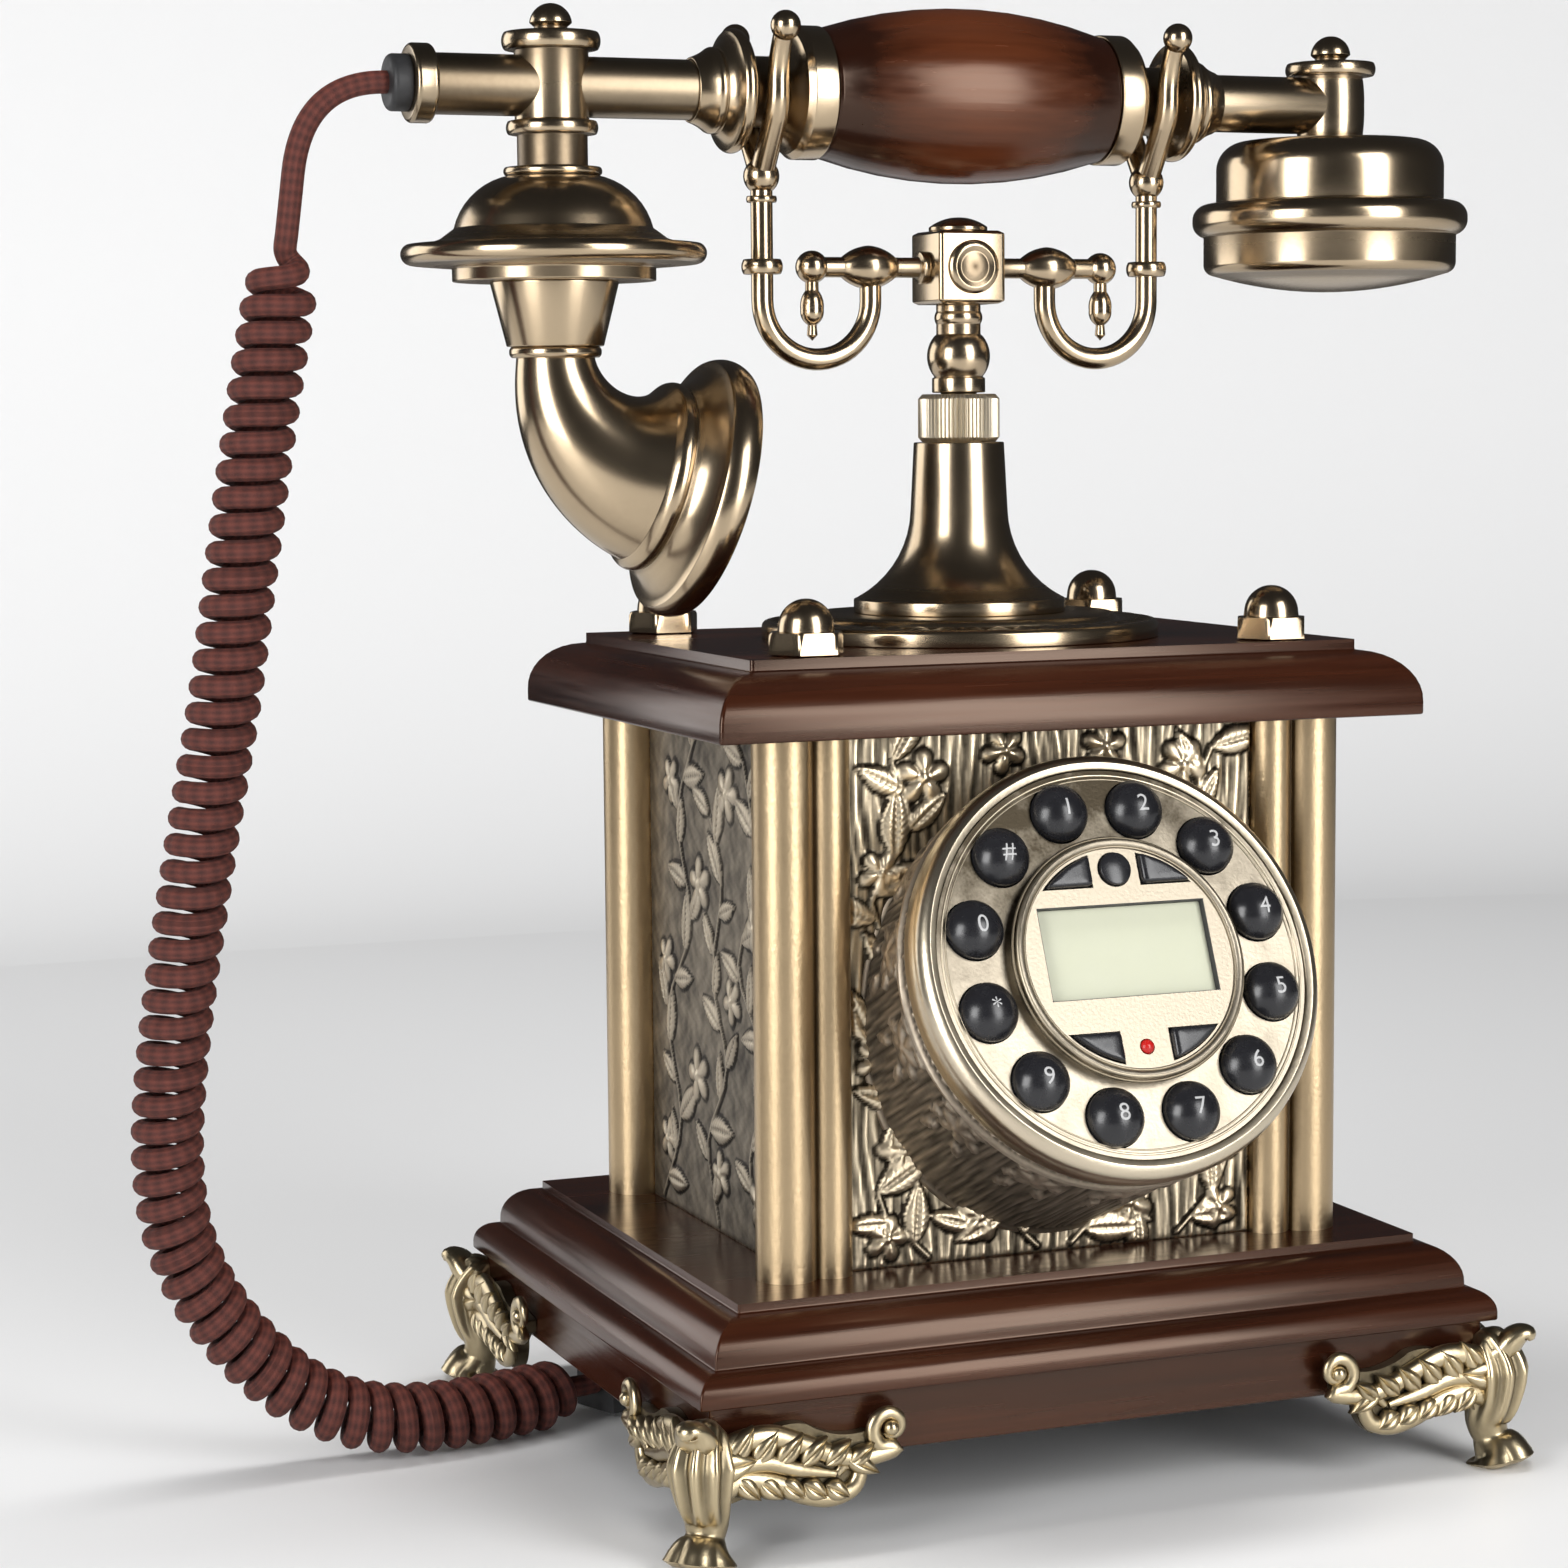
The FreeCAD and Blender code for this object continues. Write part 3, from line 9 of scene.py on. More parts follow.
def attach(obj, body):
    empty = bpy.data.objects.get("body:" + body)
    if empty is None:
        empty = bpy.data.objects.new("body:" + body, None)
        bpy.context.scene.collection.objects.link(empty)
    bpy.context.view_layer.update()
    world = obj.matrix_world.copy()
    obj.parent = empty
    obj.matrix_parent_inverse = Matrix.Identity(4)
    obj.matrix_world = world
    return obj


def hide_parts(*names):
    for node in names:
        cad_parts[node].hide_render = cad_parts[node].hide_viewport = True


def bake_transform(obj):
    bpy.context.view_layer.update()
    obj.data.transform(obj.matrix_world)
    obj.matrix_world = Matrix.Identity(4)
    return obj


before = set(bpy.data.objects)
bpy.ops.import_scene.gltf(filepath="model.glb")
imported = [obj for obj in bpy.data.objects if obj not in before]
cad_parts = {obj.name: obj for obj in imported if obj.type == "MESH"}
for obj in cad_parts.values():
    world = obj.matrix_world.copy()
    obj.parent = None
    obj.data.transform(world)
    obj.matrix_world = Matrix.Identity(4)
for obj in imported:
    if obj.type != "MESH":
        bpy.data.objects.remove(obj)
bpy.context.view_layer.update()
scene = bpy.context.scene
tau = 2 * pi
mm = 0.001
corners = [(sx, sy) for sx in (-1, 1) for sy in (-1, 1)]

# Heights in millimetres above the table, and the dial's own frame
level = dict(base=50.4, column=166.2, top=182.5, plate=188.0, pedestal=226.4, hub=257.3, arm=265.4,
             handset=303.4)
dial = dict(y=-84.37, z=119.93, tilt=23.57)


def at(x, y, z):
    return Matrix.Translation((x, y, z))


def rotated(degrees, axis):
    return Matrix.Rotation(radians(degrees), 4, axis)


turnDial = at(0, dial["y"], dial["z"]) @ rotated(90 - dial["tilt"], "X")
alongX = at(0, 0, level["handset"]) @ rotated(90, "Y")
alongMinusX = at(0, 0, level["handset"]) @ rotated(-90, "Y")


# Shader maths: a wire is an output socket that can be added, multiplied and so on
class Wire:
    def __init__(self, shade, socket):
        self.shade = shade
        self.socket = socket

    def apply(self, operation, other):
        return self.shade.node("ShaderNodeMath", {0: self, 1: other}, operation=operation)

    def __add__(self, other):
        return self.apply("ADD", other)

    def __sub__(self, other):
        return self.apply("SUBTRACT", other)

    def __mul__(self, other):
        return self.apply("MULTIPLY", other)

    def __rsub__(self, other):
        return self.shade.node("ShaderNodeMath", {0: other, 1: self}, operation="SUBTRACT")

    __radd__ = __add__
    __rmul__ = __mul__

    def sine(self):
        return self.apply("SINE", 0.0)

    def root(self):
        return self.apply("SQRT", 0.0)

    def clamped(self):
        return self.shade.node("ShaderNodeClamp", {"Value": self})


class Shade:
    def __init__(self, name):
        self.material = bpy.data.materials.new(name)
        self.material.use_nodes = True
        self.tree = self.material.node_tree
        self.tree.nodes.clear()

    def node(self, kind, inputs=None, out=0, **settings):
        made = self.tree.nodes.new(kind)
        for key, value in settings.items():
            setattr(made, key, value)
        for key, value in (inputs or {}).items():
            if isinstance(value, Wire):
                self.tree.links.new(value.socket, made.inputs[key])
            else:
                made.inputs[key].default_value = value
        return Wire(self, made.outputs[out]) if made.outputs else None

    def place(self, scale=(1, 1, 1)):
        spot = self.node("ShaderNodeTexCoord", out=3)
        return self.node("ShaderNodeMapping", {"Vector": spot, "Scale": scale})

    def part(self, vector, axis):
        return self.node("ShaderNodeSeparateXYZ", {0: vector}, out=axis)

    def noise(self, vector, scale, detail=3.0, rough=0.5):
        inputs = {"Vector": vector, "Scale": scale, "Detail": detail, "Roughness": rough}
        return self.node("ShaderNodeTexNoise", inputs)

    def attribute(self, name):
        return self.node("ShaderNodeAttribute", out=2, attribute_name=name)

    def blend(self, factor, first, second):
        colours = {0: factor, 6: (*first, 1), 7: (*second, 1)}
        return self.node("ShaderNodeMix", colours, out=2, data_type="RGBA")

    def spread(self, value, low, high, first=0.0, last=1.0):
        return self.node("ShaderNodeMapRange", {0: value, 1: low, 2: high, 3: first, 4: last})

    def bump(self, height, strength, distance):
        return self.node("ShaderNodeBump", {"Height": height, "Strength": strength, "Distance": distance})

    def finish(self, **inputs):
        names = {key.replace("_", " "): (*value, 1) if isinstance(value, tuple) else value
                 for key, value in inputs.items()}
        surface = self.node("ShaderNodeBsdfPrincipled", names)
        self.node("ShaderNodeOutputMaterial", {"Surface": surface})
        return self.material


# Moulded or painted surface: soft clouds in colour and gloss, and a fine grain
def plain(name, colour, roughness, metallic=0.0, cloudy=0.18, grain=0.06):
    shade = Shade(name)
    clouds = shade.noise(shade.place(), 220.0, 4.0)
    fine = shade.noise(shade.place(), 1980.0, 2.0)
    low, high = (tuple(c * (1 + side * cloudy) for c in colour) for side in (-1, 1))
    tone = (clouds + (fine - 0.5) * 0.3).clamped()
    return shade.finish(
        Base_Color=shade.blend(tone, low, high), Metallic=metallic, Normal=shade.bump(fine, grain, 0.0003),
        Roughness=shade.spread(tone, 0.3, 0.7, roughness * 0.85, roughness * 1.2))


# Antique brass: bright on what stands out, dark brown where the patina attribute is low; that attribute holds
# patina together with painted shade in hollows and painted highlight on raised parts
def brass(name, bright, dark, roughness, cloud=0.25, grain=0.0):
    shade = Shade(name)
    where = shade.place()
    clouds = shade.noise(where, 60.0, 4.0)
    fine = shade.noise(where, 900.0, 2.0)
    # patina, painted shade and painted highlight from the attribute, with random tone from the clouds
    tarnishAndShade = (shade.attribute("patinaAndShade") + (clouds - 0.5) * cloud + (fine - 0.5) * 0.12).clamped()
    rough = shade.spread(tarnishAndShade, 0.0, 1.0, roughness + 0.22, roughness) + (clouds - 0.5) * 0.1
    extra = dict(Normal=shade.bump(fine, grain, 0.0004)) if grain else {}
    return shade.finish(Base_Color=shade.blend(tarnishAndShade, dark, bright), Roughness=rough, Metallic=1.0, **extra)


# Dial face: the raised disc is pale, the ring round it has painted shade that darkens towards its upper left
def facePlate(name, bright, dark, discRadius=0.0246, discEdge=0.0006):
    shade = Shade(name)
    spot = shade.place()
    across, deep, high = (shade.part(spot, k) for k in range(3))
    tilt = radians(dial["tilt"])
    upward = (deep - dial["y"] * mm) * sin(tilt) + (high - dial["z"] * mm) * cos(tilt)
    reach = (across * across + upward * upward).root()
    disc = shade.spread(reach, discRadius, discRadius + discEdge, 1.0, 0.0)
    clouds = shade.noise(spot, 160.0, 4.0)
    fine = shade.noise(spot, 1500.0, 2.0)
    # painted shade on the ring round the disc, darker towards its upper left
    rim = shade.spread(upward - across * 0.35, -0.004, 0.038, 0.95, -0.1)
    tone = (disc * 0.84 + (1 - disc) * (rim + (clouds - 0.5) * 1.1) + (fine - 0.5) * 0.35).clamped()
    return shade.finish(
        Base_Color=shade.blend(tone, dark, bright), Metallic=1.0, Normal=shade.bump(fine, 0.15, 0.0003),
        Roughness=shade.spread(fine, 0.0, 1.0, 0.36, 0.5))


# Wood: long fibres and pores along X, or along Y where the face attribute run is 1
def wood(name, light, dark, darkerEnds=False):
    shade = Shade(name)
    run = shade.attribute("run")

    def streaks(along, across, detail, rough):
        first = shade.noise(shade.place((along, across, across)), 1.0, detail, rough)
        second = shade.noise(shade.place((across, along, across)), 1.0, detail, rough)
        return first + (second - first) * run

    fibre, pores = streaks(6, 90, 5.0, 0.6), streaks(25, 700, 2.0, 0.5)
    tone = shade.spread(fibre + (pores - 0.5) * 0.35, 0.3, 0.75).clamped()
    if darkerEnds:  # darker towards both ends
        across = shade.part(shade.place(), 0)
        tone = tone * 0.6 + shade.spread(across * across, 0.0, 0.00090, 0.5, -0.5)
    return shade.finish(
        Base_Color=shade.blend(tone.clamped(), dark, light), Specular_IOR_Level=0.5,
        Specular_Tint=(1.0, 0.74, 0.58), Normal=shade.bump(pores, 0.12, 0.0003),
        Roughness=shade.spread(pores, 0.2, 0.8, 0.17, 0.29))


# Woven sleeve: two sets of threads that cross, laid out along and around the strand
def woven(name, light, dark):
    shade = Shade(name)
    layout = shade.node("ShaderNodeUVMap", uv_map="weave")
    along, around = shade.part(layout, 0) * 26.0, shade.part(layout, 1) * (tau * 5)
    plait = (along + around).sine() * (along - around).sine()
    fuzz = shade.noise(shade.place(), 2500.0, 2.0)
    tone = shade.spread(plait + (fuzz - 0.5) * 1.2, -1.0, 1.0).clamped()
    return shade.finish(Base_Color=shade.blend(tone, dark, light), Roughness=0.85,
                        Normal=shade.bump(tone, 0.6, 0.0004))


paint = dict(
    brass=brass("antiqueBrass", (0.45, 0.352, 0.235), (0.05, 0.034, 0.020), 0.2),
    tube=brass("tubeBrass", (0.33, 0.262, 0.178), (0.05, 0.034, 0.020), 0.24),
    relief=brass("embossedBrass", (0.82, 0.69, 0.49), (0.022, 0.017, 0.012), 0.32, 0.35, 0.15),
    sideRelief=brass("sideBrass", (0.50, 0.43, 0.33), (0.034, 0.029, 0.025), 0.4, 0.6, 0.15),
    drum=brass("drumBrass", (0.57, 0.48, 0.375), (0.028, 0.022, 0.015), 0.42, 0.35, 0.15),
    post=brass("satinBrass", (0.47, 0.352, 0.212), (0.10, 0.068, 0.034), 0.34, 0.5, 0.16),
    cast=brass("castBrass", (0.50, 0.412, 0.262), (0.026, 0.020, 0.012), 0.28, 0.6, 0.1),
    pale=brass("paleBrass", (0.62, 0.54, 0.41), (0.12, 0.095, 0.06), 0.3, 0.25, 0.1),
    face=facePlate("dialFace", (0.44, 0.385, 0.30), (0.045, 0.036, 0.024)),
    knurl=brass("paleKnurl", (0.54, 0.47, 0.36), (0.15, 0.12, 0.08), 0.35),
    wood=wood("walnut", (0.044, 0.0118, 0.0048), (0.013, 0.0037, 0.0020)),
    grip=wood("gripWood", (0.092, 0.0235, 0.0078), (0.014, 0.0040, 0.0020), darkerEnds=True),
    key=plain("blackKeys", (0.012, 0.012, 0.014), 0.26, grain=0.02),
    digit=plain("keyMarks", (0.40, 0.40, 0.40), 0.5),
    screen=plain("displayFace", (0.49, 0.50, 0.378), 0.55, cloudy=0.04, grain=0.01),
    lamp=plain("redLens", (0.42, 0.010, 0.008), 0.25),
    rubber=plain("blackRubber", (0.015, 0.015, 0.016), 0.55),
    cord=woven("wovenCord", (0.112, 0.026, 0.017), (0.042, 0.009, 0.0065)),
    plastic=plain("darkPlastic", (0.03, 0.03, 0.032), 0.5),
    cover=plain("blackPaint", (0.02, 0.02, 0.02), 0.6),
    board=plain("greenBoard", (0.02, 0.12, 0.05), 0.45),
    steel=plain("springSteel", (0.55, 0.55, 0.55), 0.3, 1.0),
)
print("materials made")


# Mesh helpers, all in millimetres until the mesh is made
def addObject(name, data):
    piece = bpy.data.objects.new(name, data)
    scene.collection.objects.link(piece)
    return piece


def curveMesh(name, curve):
    holder = addObject(name, curve)
    mesh = bpy.data.meshes.new_from_object(holder)
    bpy.data.objects.remove(holder)
    return mesh


def meshPoints(mesh):
    spots = np.empty(len(mesh.vertices) * 3)
    mesh.vertices.foreach_get("co", spots)
    return spots.reshape(-1, 3)


def moved(points, matrix):
    turn = np.array(matrix)
    return points @ turn[:3, :3].T + turn[:3, 3]


def fullTurn(count):
    return np.linspace(0, tau, count, endpoint=False)


def polar(r, angle, z):
    return np.stack(np.broadcast_arrays(r * np.cos(angle), r * np.sin(angle), z), -1)


def unit(value):
    return np.clip(value, 0, 1)


def halfRound(offset):
    return np.sqrt(unit(1 - offset ** 2))


def runLength(path):
    return np.concatenate([[0], np.cumsum(np.linalg.norm(np.diff(path, axis=0), axis=1))])


def layers(plan, heights):
    return np.array([np.column_stack([plan, np.full(len(plan), z)]) for z in heights])


def gridQuads(rows, columns, wrapRows, wrapColumns):
    i = np.arange(rows if wrapRows else rows - 1)[:, None]
    j = np.arange(columns if wrapColumns else columns - 1)[None, :]
    nextI, nextJ = (i + 1) % rows, (j + 1) % columns
    quads = [i * columns + j, nextI * columns + j, nextI * columns + nextJ, i * columns + nextJ]
    return np.stack([np.broadcast_to(c, (i.size, j.size)).ravel() for c in quads], 1)


class Shell:
    def __init__(self):
        self.points, self.faces, self.values, self.count = [], [], [], 0

    def grid(self, surface, wrapRows=False, wrapColumns=False, matrix=None, patinaAndShade=1.0, capRows=False):
        surface = np.asarray(surface, float)
        rows, columns = surface.shape[:2]
        flat = surface.reshape(-1, 3)
        self.points.append(flat if matrix is None else moved(flat, matrix))
        self.values.append(np.broadcast_to(np.asarray(patinaAndShade, float), (rows, columns)).ravel())
        self.faces += (gridQuads(rows, columns, wrapRows, wrapColumns) + self.count).tolist()
        if capRows:
            self.faces.append((np.arange(columns) + self.count).tolist())
            self.faces.append((np.arange(columns) + (rows - 1) * columns + self.count).tolist()[::-1])
        self.count += rows * columns
        return self

    def finish(self, name, node=None, look="brass", body="phone_base", sharp=38.0, weld=1e-3, grained=False):
        mesh = bpy.data.meshes.new(name)
        mesh.from_pydata((np.concatenate(self.points) * mm).tolist(), [], self.faces)
        patinaAndShade = mesh.attributes.new("patinaAndShade", "FLOAT", "POINT")
        patinaAndShade.data.foreach_set("value", np.concatenate(self.values).astype(np.float32))
        work = bmesh.new()
        work.from_mesh(mesh)
        bmesh.ops.remove_doubles(work, verts=work.verts, dist=weld * mm)
        bmesh.ops.dissolve_degenerate(work, edges=work.edges, dist=1e-7)
        bmesh.ops.recalc_face_normals(work, faces=work.faces)
        work.to_mesh(mesh)
        work.free()
        if grained:  # faces that look sideways have their fibres along Y
            normals = np.empty(len(mesh.polygons) * 3)
            mesh.polygons.foreach_get("normal", normals)
            sideways = np.abs(normals.reshape(-1, 3))
            run = mesh.attributes.new("run", "FLOAT", "FACE")
            run.data.foreach_set("value", (sideways[:, 0] > sideways[:, 1] + 0.02).astype(np.float32))
        mesh.shade_smooth()
        mesh.set_sharp_from_angle(angle=radians(sharp))
        piece = addObject(name, mesh)
        mesh.materials.append(paint[look])
        if body:
            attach(piece, body)
        if node:
            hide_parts(node)
        return piece


# A profile: points (r, z) or (r, z, bulge); bulges become arcs, other corners are eased by soft
def outline(points, soft=0.35, closed=False, steps=9):
    full = [np.array(points[0][:2], float)]
    for point in points[1:]:
        start, stop = full[-1], np.array(point[:2], float)
        if len(point) == 3:
            bulge = point[2]
            chord = stop - start
            centre = (start + stop) / 2 + np.array([-chord[1], chord[0]]) * (1 - bulge * bulge) / (4 * bulge)
            sweep = 4 * atan(bulge) * np.arange(1, steps) / steps
            arm = start - centre
            full += [centre + np.array([arm[0] * cos(a) - arm[1] * sin(a),
                                        arm[0] * sin(a) + arm[1] * cos(a)]) for a in sweep]
        full.append(stop)
    eased = [] if closed else [full[0]]
    for i in range(len(full)) if closed else range(1, len(full) - 1):
        before, here, after = full[i - 1], full[i], full[(i + 1) % len(full)]
        into, out = here - before, after - here
        long, short = np.linalg.norm(into), np.linalg.norm(out)
        turn = acos(np.clip(into @ out / max(long * short, 1e-12), -1, 1))
        if turn < radians(22):
            eased.append(here)
            continue
        reach = min(soft * tan(min(turn, 2.6) / 2), 0.45 * long, 0.45 * short)
        first, last = here - into / long * reach, here + out / short * reach
        eased += [first * (1 - t) ** 2 + here * 2 * t * (1 - t) + last * t * t for t in (0, 0.33, 0.67, 1)]
    if not closed:
        eased.append(full[-1])
    return np.array(eased)


# Patina and painted shade of a turned profile: dark where the radius lies under its own smoothed course
def hollowShadeAndPatina(profile, reach=2.5, depth=1.6):
    along = runLength(profile)
    weight = np.exp(-((along[:, None] - along[None, :]) / reach) ** 2)
    smooth = weight @ profile[:, 0] / weight.sum(1)
    return unit(0.92 + (profile[:, 0] - smooth) / depth)


def lathe(points, matrix=None, segments=96, ripple=None, shell=None, shadeAndPatinaInHollows=True):
    # ring radius follows the profile; ripple adds to radius and height
    onAxis = points[0][0] == 0 and points[-1][0] == 0
    profile = outline(points, closed=not onAxis)
    angle = fullTurn(segments)
    r = np.repeat(profile[:, :1], segments, 1)
    z = np.repeat(profile[:, 1:], segments, 1)
    if ripple:
        dr, dz = ripple(r, z, angle[None, :])
        r, z = r + dr, z + dz
    # patina and painted shade in the profile's hollows, lighter on its rounds
    patinaAndShade = hollowShadeAndPatina(profile)[:, None] if shadeAndPatinaInHollows else 1.0
    return (shell or Shell()).grid(polar(r, angle, z), not onAxis, True, matrix, patinaAndShade)


def smoothPath(points, count):
    # Catmull-Rom curve through the points, sampled evenly in its own parameter
    points = np.asarray(points, float)
    padded = np.vstack([2 * points[0] - points[1], points, 2 * points[-1] - points[-2]])
    t = np.linspace(0, len(points) - 1 - 1e-9, count)
    i = t.astype(int)
    f = (t - i)[:, None]
    a, b, c, d = (padded[i + k] for k in range(4))
    square, cube = 2 * a - 5 * b + 4 * c - d, 3 * b - a - 3 * c + d
    return 0.5 * (2 * b + (c - a) * f + square * f ** 2 + cube * f ** 3)


def frames(path, side=(0, 1, 0)):
    # two directions across a path, the first one carried along without twist
    ways = np.gradient(path, axis=0)
    ways /= np.linalg.norm(ways, axis=1)[:, None]
    sides = np.empty_like(path)
    carried = np.array(side, float)
    for i, way in enumerate(ways):
        carried = carried - way * (carried @ way)
        carried /= np.linalg.norm(carried)
        sides[i] = carried
    return sides, np.cross(ways, sides)


def tube(path, radius, segments=16, shell=None, flat=1.0, side=(0, 1, 0), matrix=None, patinaAndShade=1.0):
    # round or flattened tube along a path; radius may vary along it, ends are closed
    path = np.asarray(path, float)
    radius = np.broadcast_to(np.asarray(radius, float), (len(path),))[:, None, None]
    sides, ups = frames(path, side)
    angle = fullTurn(segments)[None, :, None]
    surface = path[:, None] + radius * (sides[:, None] * np.cos(angle) * flat + ups[:, None] * np.sin(angle))
    return (shell or Shell()).grid(surface, False, True, matrix, patinaAndShade, capRows=True)


def ballShape(centre, radius, shell, segments=32, matrix=None):
    around = fullTurn(segments)[None, :]
    down = np.linspace(0, pi, segments // 2 + 1)[:, None]
    ball = polar(np.sin(down), around, np.cos(down))
    return shell.grid(np.array(centre) + radius * ball, False, True, matrix)


# Camera as in the photograph
camera = dict(spot=(-0.340147, -0.750019, 0.233948), azimuth=-21.596, elevation=5.901, roll=-0.49, lens=83.08)
lens = bpy.data.cameras.new("camera")
lens.sensor_width, lens.lens = 36.0, camera["lens"]
lens.clip_start, lens.clip_end = 0.01, 30.0
viewer = scene.camera = addObject("camera", lens)
turn, rise, roll = (radians(camera[key]) for key in ("azimuth", "elevation", "roll"))
back = Vector((sin(turn) * cos(rise), -cos(turn) * cos(rise), sin(rise)))
right = Vector((cos(turn), sin(turn), 0))
up = right.cross(-back)
axes = Matrix((right * cos(roll) + up * sin(roll),
               up * cos(roll) - right * sin(roll), back))
viewer.matrix_world = at(*camera["spot"]) @ axes.transposed().to_4x4()

# Plug at the handset's end
plugShape = [(0, 121.5), (5.1, 121.5), (5.1, 127.5), (6.05, 127.5), (6.05, 130.8), (4.85, 132, 0.4), (0, 132)]
cordPlug = lathe(plugShape, alongMinusX, 48, shadeAndPatinaInHollows=False).finish("cordPlug", "cord_plug", "rubber", "handset")

# Coiled cord: the route is a smooth spline, the curls wind round it from the end of the tail
cordSize = dict(strand=2.45, coil=5.5, turns=57, tail=44.0, lead=3.0, ease=13.0, perTurn=26, sides=14)
cordRoute = [
    (-132, 0, 303.4), (-150.1, 0, 303.4), (-154.6, 1.9, 264.8), (-156.1, 2.4, 255), (-159.5, 3, 236),
    (-164, 5, 205), (-168, 7, 174), (-171.8, 9.5, 152), (-175, 12, 131), (-178, 14.5, 110),
    (-180.2, 17, 89), (-180.8, 19, 73), (-179, 20.5, 57), (-173.6, 21.6, 43), (-164.6, 22, 29.5),
    (-152, 22, 17), (-137, 21.6, 9.9), (-121, 22.2, 8.3), (-106, 25, 8.3), (-91, 30.2, 8.3),
    (-82.3, 33.7, 8.3), (-78, 35.4, 8.3)]


def splinePoints(name, route):
    curve = bpy.data.curves.new(name, "CURVE")
    curve.dimensions = "3D"
    spline = curve.splines.new("NURBS")
    spline.points.add(len(route) - 1)
    spline.points.foreach_set("co", np.array([(*p, 1000.0) for p in route]).ravel() * mm)
    spline.order_u = 3
    spline.use_endpoint_u = True
    spline.resolution_u = 24
    return meshPoints(curveMesh(name, curve)) / mm


def resampled(line, count):
    length = runLength(line)
    wanted = np.linspace(0, length[-1], count)
    return np.stack([np.interp(wanted, length, line[:, k]) for k in range(3)], 1), wanted


def makeCord():
    strand, coil, turns, tail, lead, ease, perTurn, around = cordSize.values()
    axis, along = resampled(splinePoints("cordRoute", cordRoute), int(turns * perTurn * 1.2))
    sides, ups = frames(axis)
    wound = along[-1] - tail - lead
    ramp = unit(np.minimum(along - tail, tail + wound - along) / ease)
    ramp = ramp * ramp * (3 - 2 * ramp)  # both the curl's radius and its turning rate ease in and out
    angle = (tau * turns * np.cumsum(ramp) / ramp.sum())[:, None]
    path = axis + (coil * ramp)[:, None] * (sides * np.cos(angle) + ups * np.sin(angle))
    piece = tube(path, strand, around).finish("curlyCord", None, "cord", None, weld=1e-4, sharp=60)
    run = runLength(path)
    layer = piece.data.uv_layers.new(name="weave")
    loops = np.empty(len(piece.data.loops), int)
    piece.data.loops.foreach_get("vertex_index", loops)
    place = np.stack([run[loops // around] / (2 * strand) / 4, (loops % around) / around], 1)
    layer.data.foreach_set("uv", place.ravel().astype(np.float32))
    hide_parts("curly_cord", "cord_tail")
    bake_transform(piece)
    tuple(path[0] * mm)
    (path * mm).tolist()
    print("cord made, length", round(run[-1]))


makeCord()


# Rings for boards and blocks: a rectangle with rounded corners, carried along an (inset, z) profile
def boxRing(halfX, halfY, radius, steps=5):
    quarter = np.linspace(0, pi / 2, steps)
    ring = []
    for k, (sx, sy) in enumerate([(1, 1), (-1, 1), (-1, -1), (1, -1)]):
        angle = quarter + k * pi / 2
        ring.append(np.stack([sx * (halfX - radius) + radius * np.cos(angle),
                              sy * (halfY - radius) + radius * np.sin(angle)], 1))
    return np.concatenate(ring)


def boxed(points, halfX, halfY, radius, soft=0.5, matrix=None):
    rows = [layers(boxRing(halfX + inset, halfY + inset, radius), [z])[0]
            for inset, z in outline(points, soft)]
    return Shell().grid(np.array(rows), False, True, matrix, capRows=True)


def capBulge(wide, rise):
    return tan(atan2(rise, wide) / 2)


# Wooden base and top
baseSide = [(-6.7, 21.8), (-6.7, 19.4), (-2.7, 19.4), (-2.7, 32.5), (0, 32.5), (0, 34.4), (-4.3, 39.2, 0.36),
            (-5.3, 39.2), (-5.3, 40.4), (-12.0, 48.4, 0.38), (-13.5, 48.4), (-13.5, 50.4)]
topSide = [(-4, 166.2), (0, 166.2), (0, 169.0), (-10.0, 180.1, 0.4), (-11.0, 180.1), (-11.0, 182.5)]
woodBase = boxed(baseSide, 94.0, 79.5, 0.5).finish("woodBase", "base_board", "wood", grained=True)


# Window for the line socket, cut through the rear band
def cutWindow(piece, low, high):
    ends = np.array([low, high])
    spots = np.array([[ends[i, 0], ends[j, 1], ends[k, 2]] for i in (0, 1) for j in (0, 1) for k in (0, 1)])
    sides = [(0, 1, 3, 2), (4, 6, 7, 5), (0, 4, 5, 1), (2, 3, 7, 6), (0, 2, 6, 4), (1, 5, 7, 3)]
    mesh = bpy.data.meshes.new("cutter")
    mesh.from_pydata((spots * mm).tolist(), [], sides)
    cutter = addObject("cutter", mesh)
    step = piece.modifiers.new("window", "BOOLEAN")
    step.object, step.operation, step.solver = cutter, "DIFFERENCE", "EXACT"
    carved = bpy.data.meshes.new_from_object(piece.evaluated_get(bpy.context.evaluated_depsgraph_get()))
    piece.modifiers.clear()
    piece.data = carved
    bpy.data.objects.remove(cutter)


cutWindow(woodBase, (21, 62, 21.9), (35, 82, 31.8))
boxed(topSide, 82.7, 64.8, 0.8).finish("woodTop", "top_board", "wood", grained=True)


# Posts: a round shaft beside a rib with eased edges, drawn in plan and carried up the column
postSize = dict(x=62.6, y=48.1, radius=6.6, back=41.9, left=48.4, right=57.4, front=53.5, crown=3.0,
                panel=60.34)


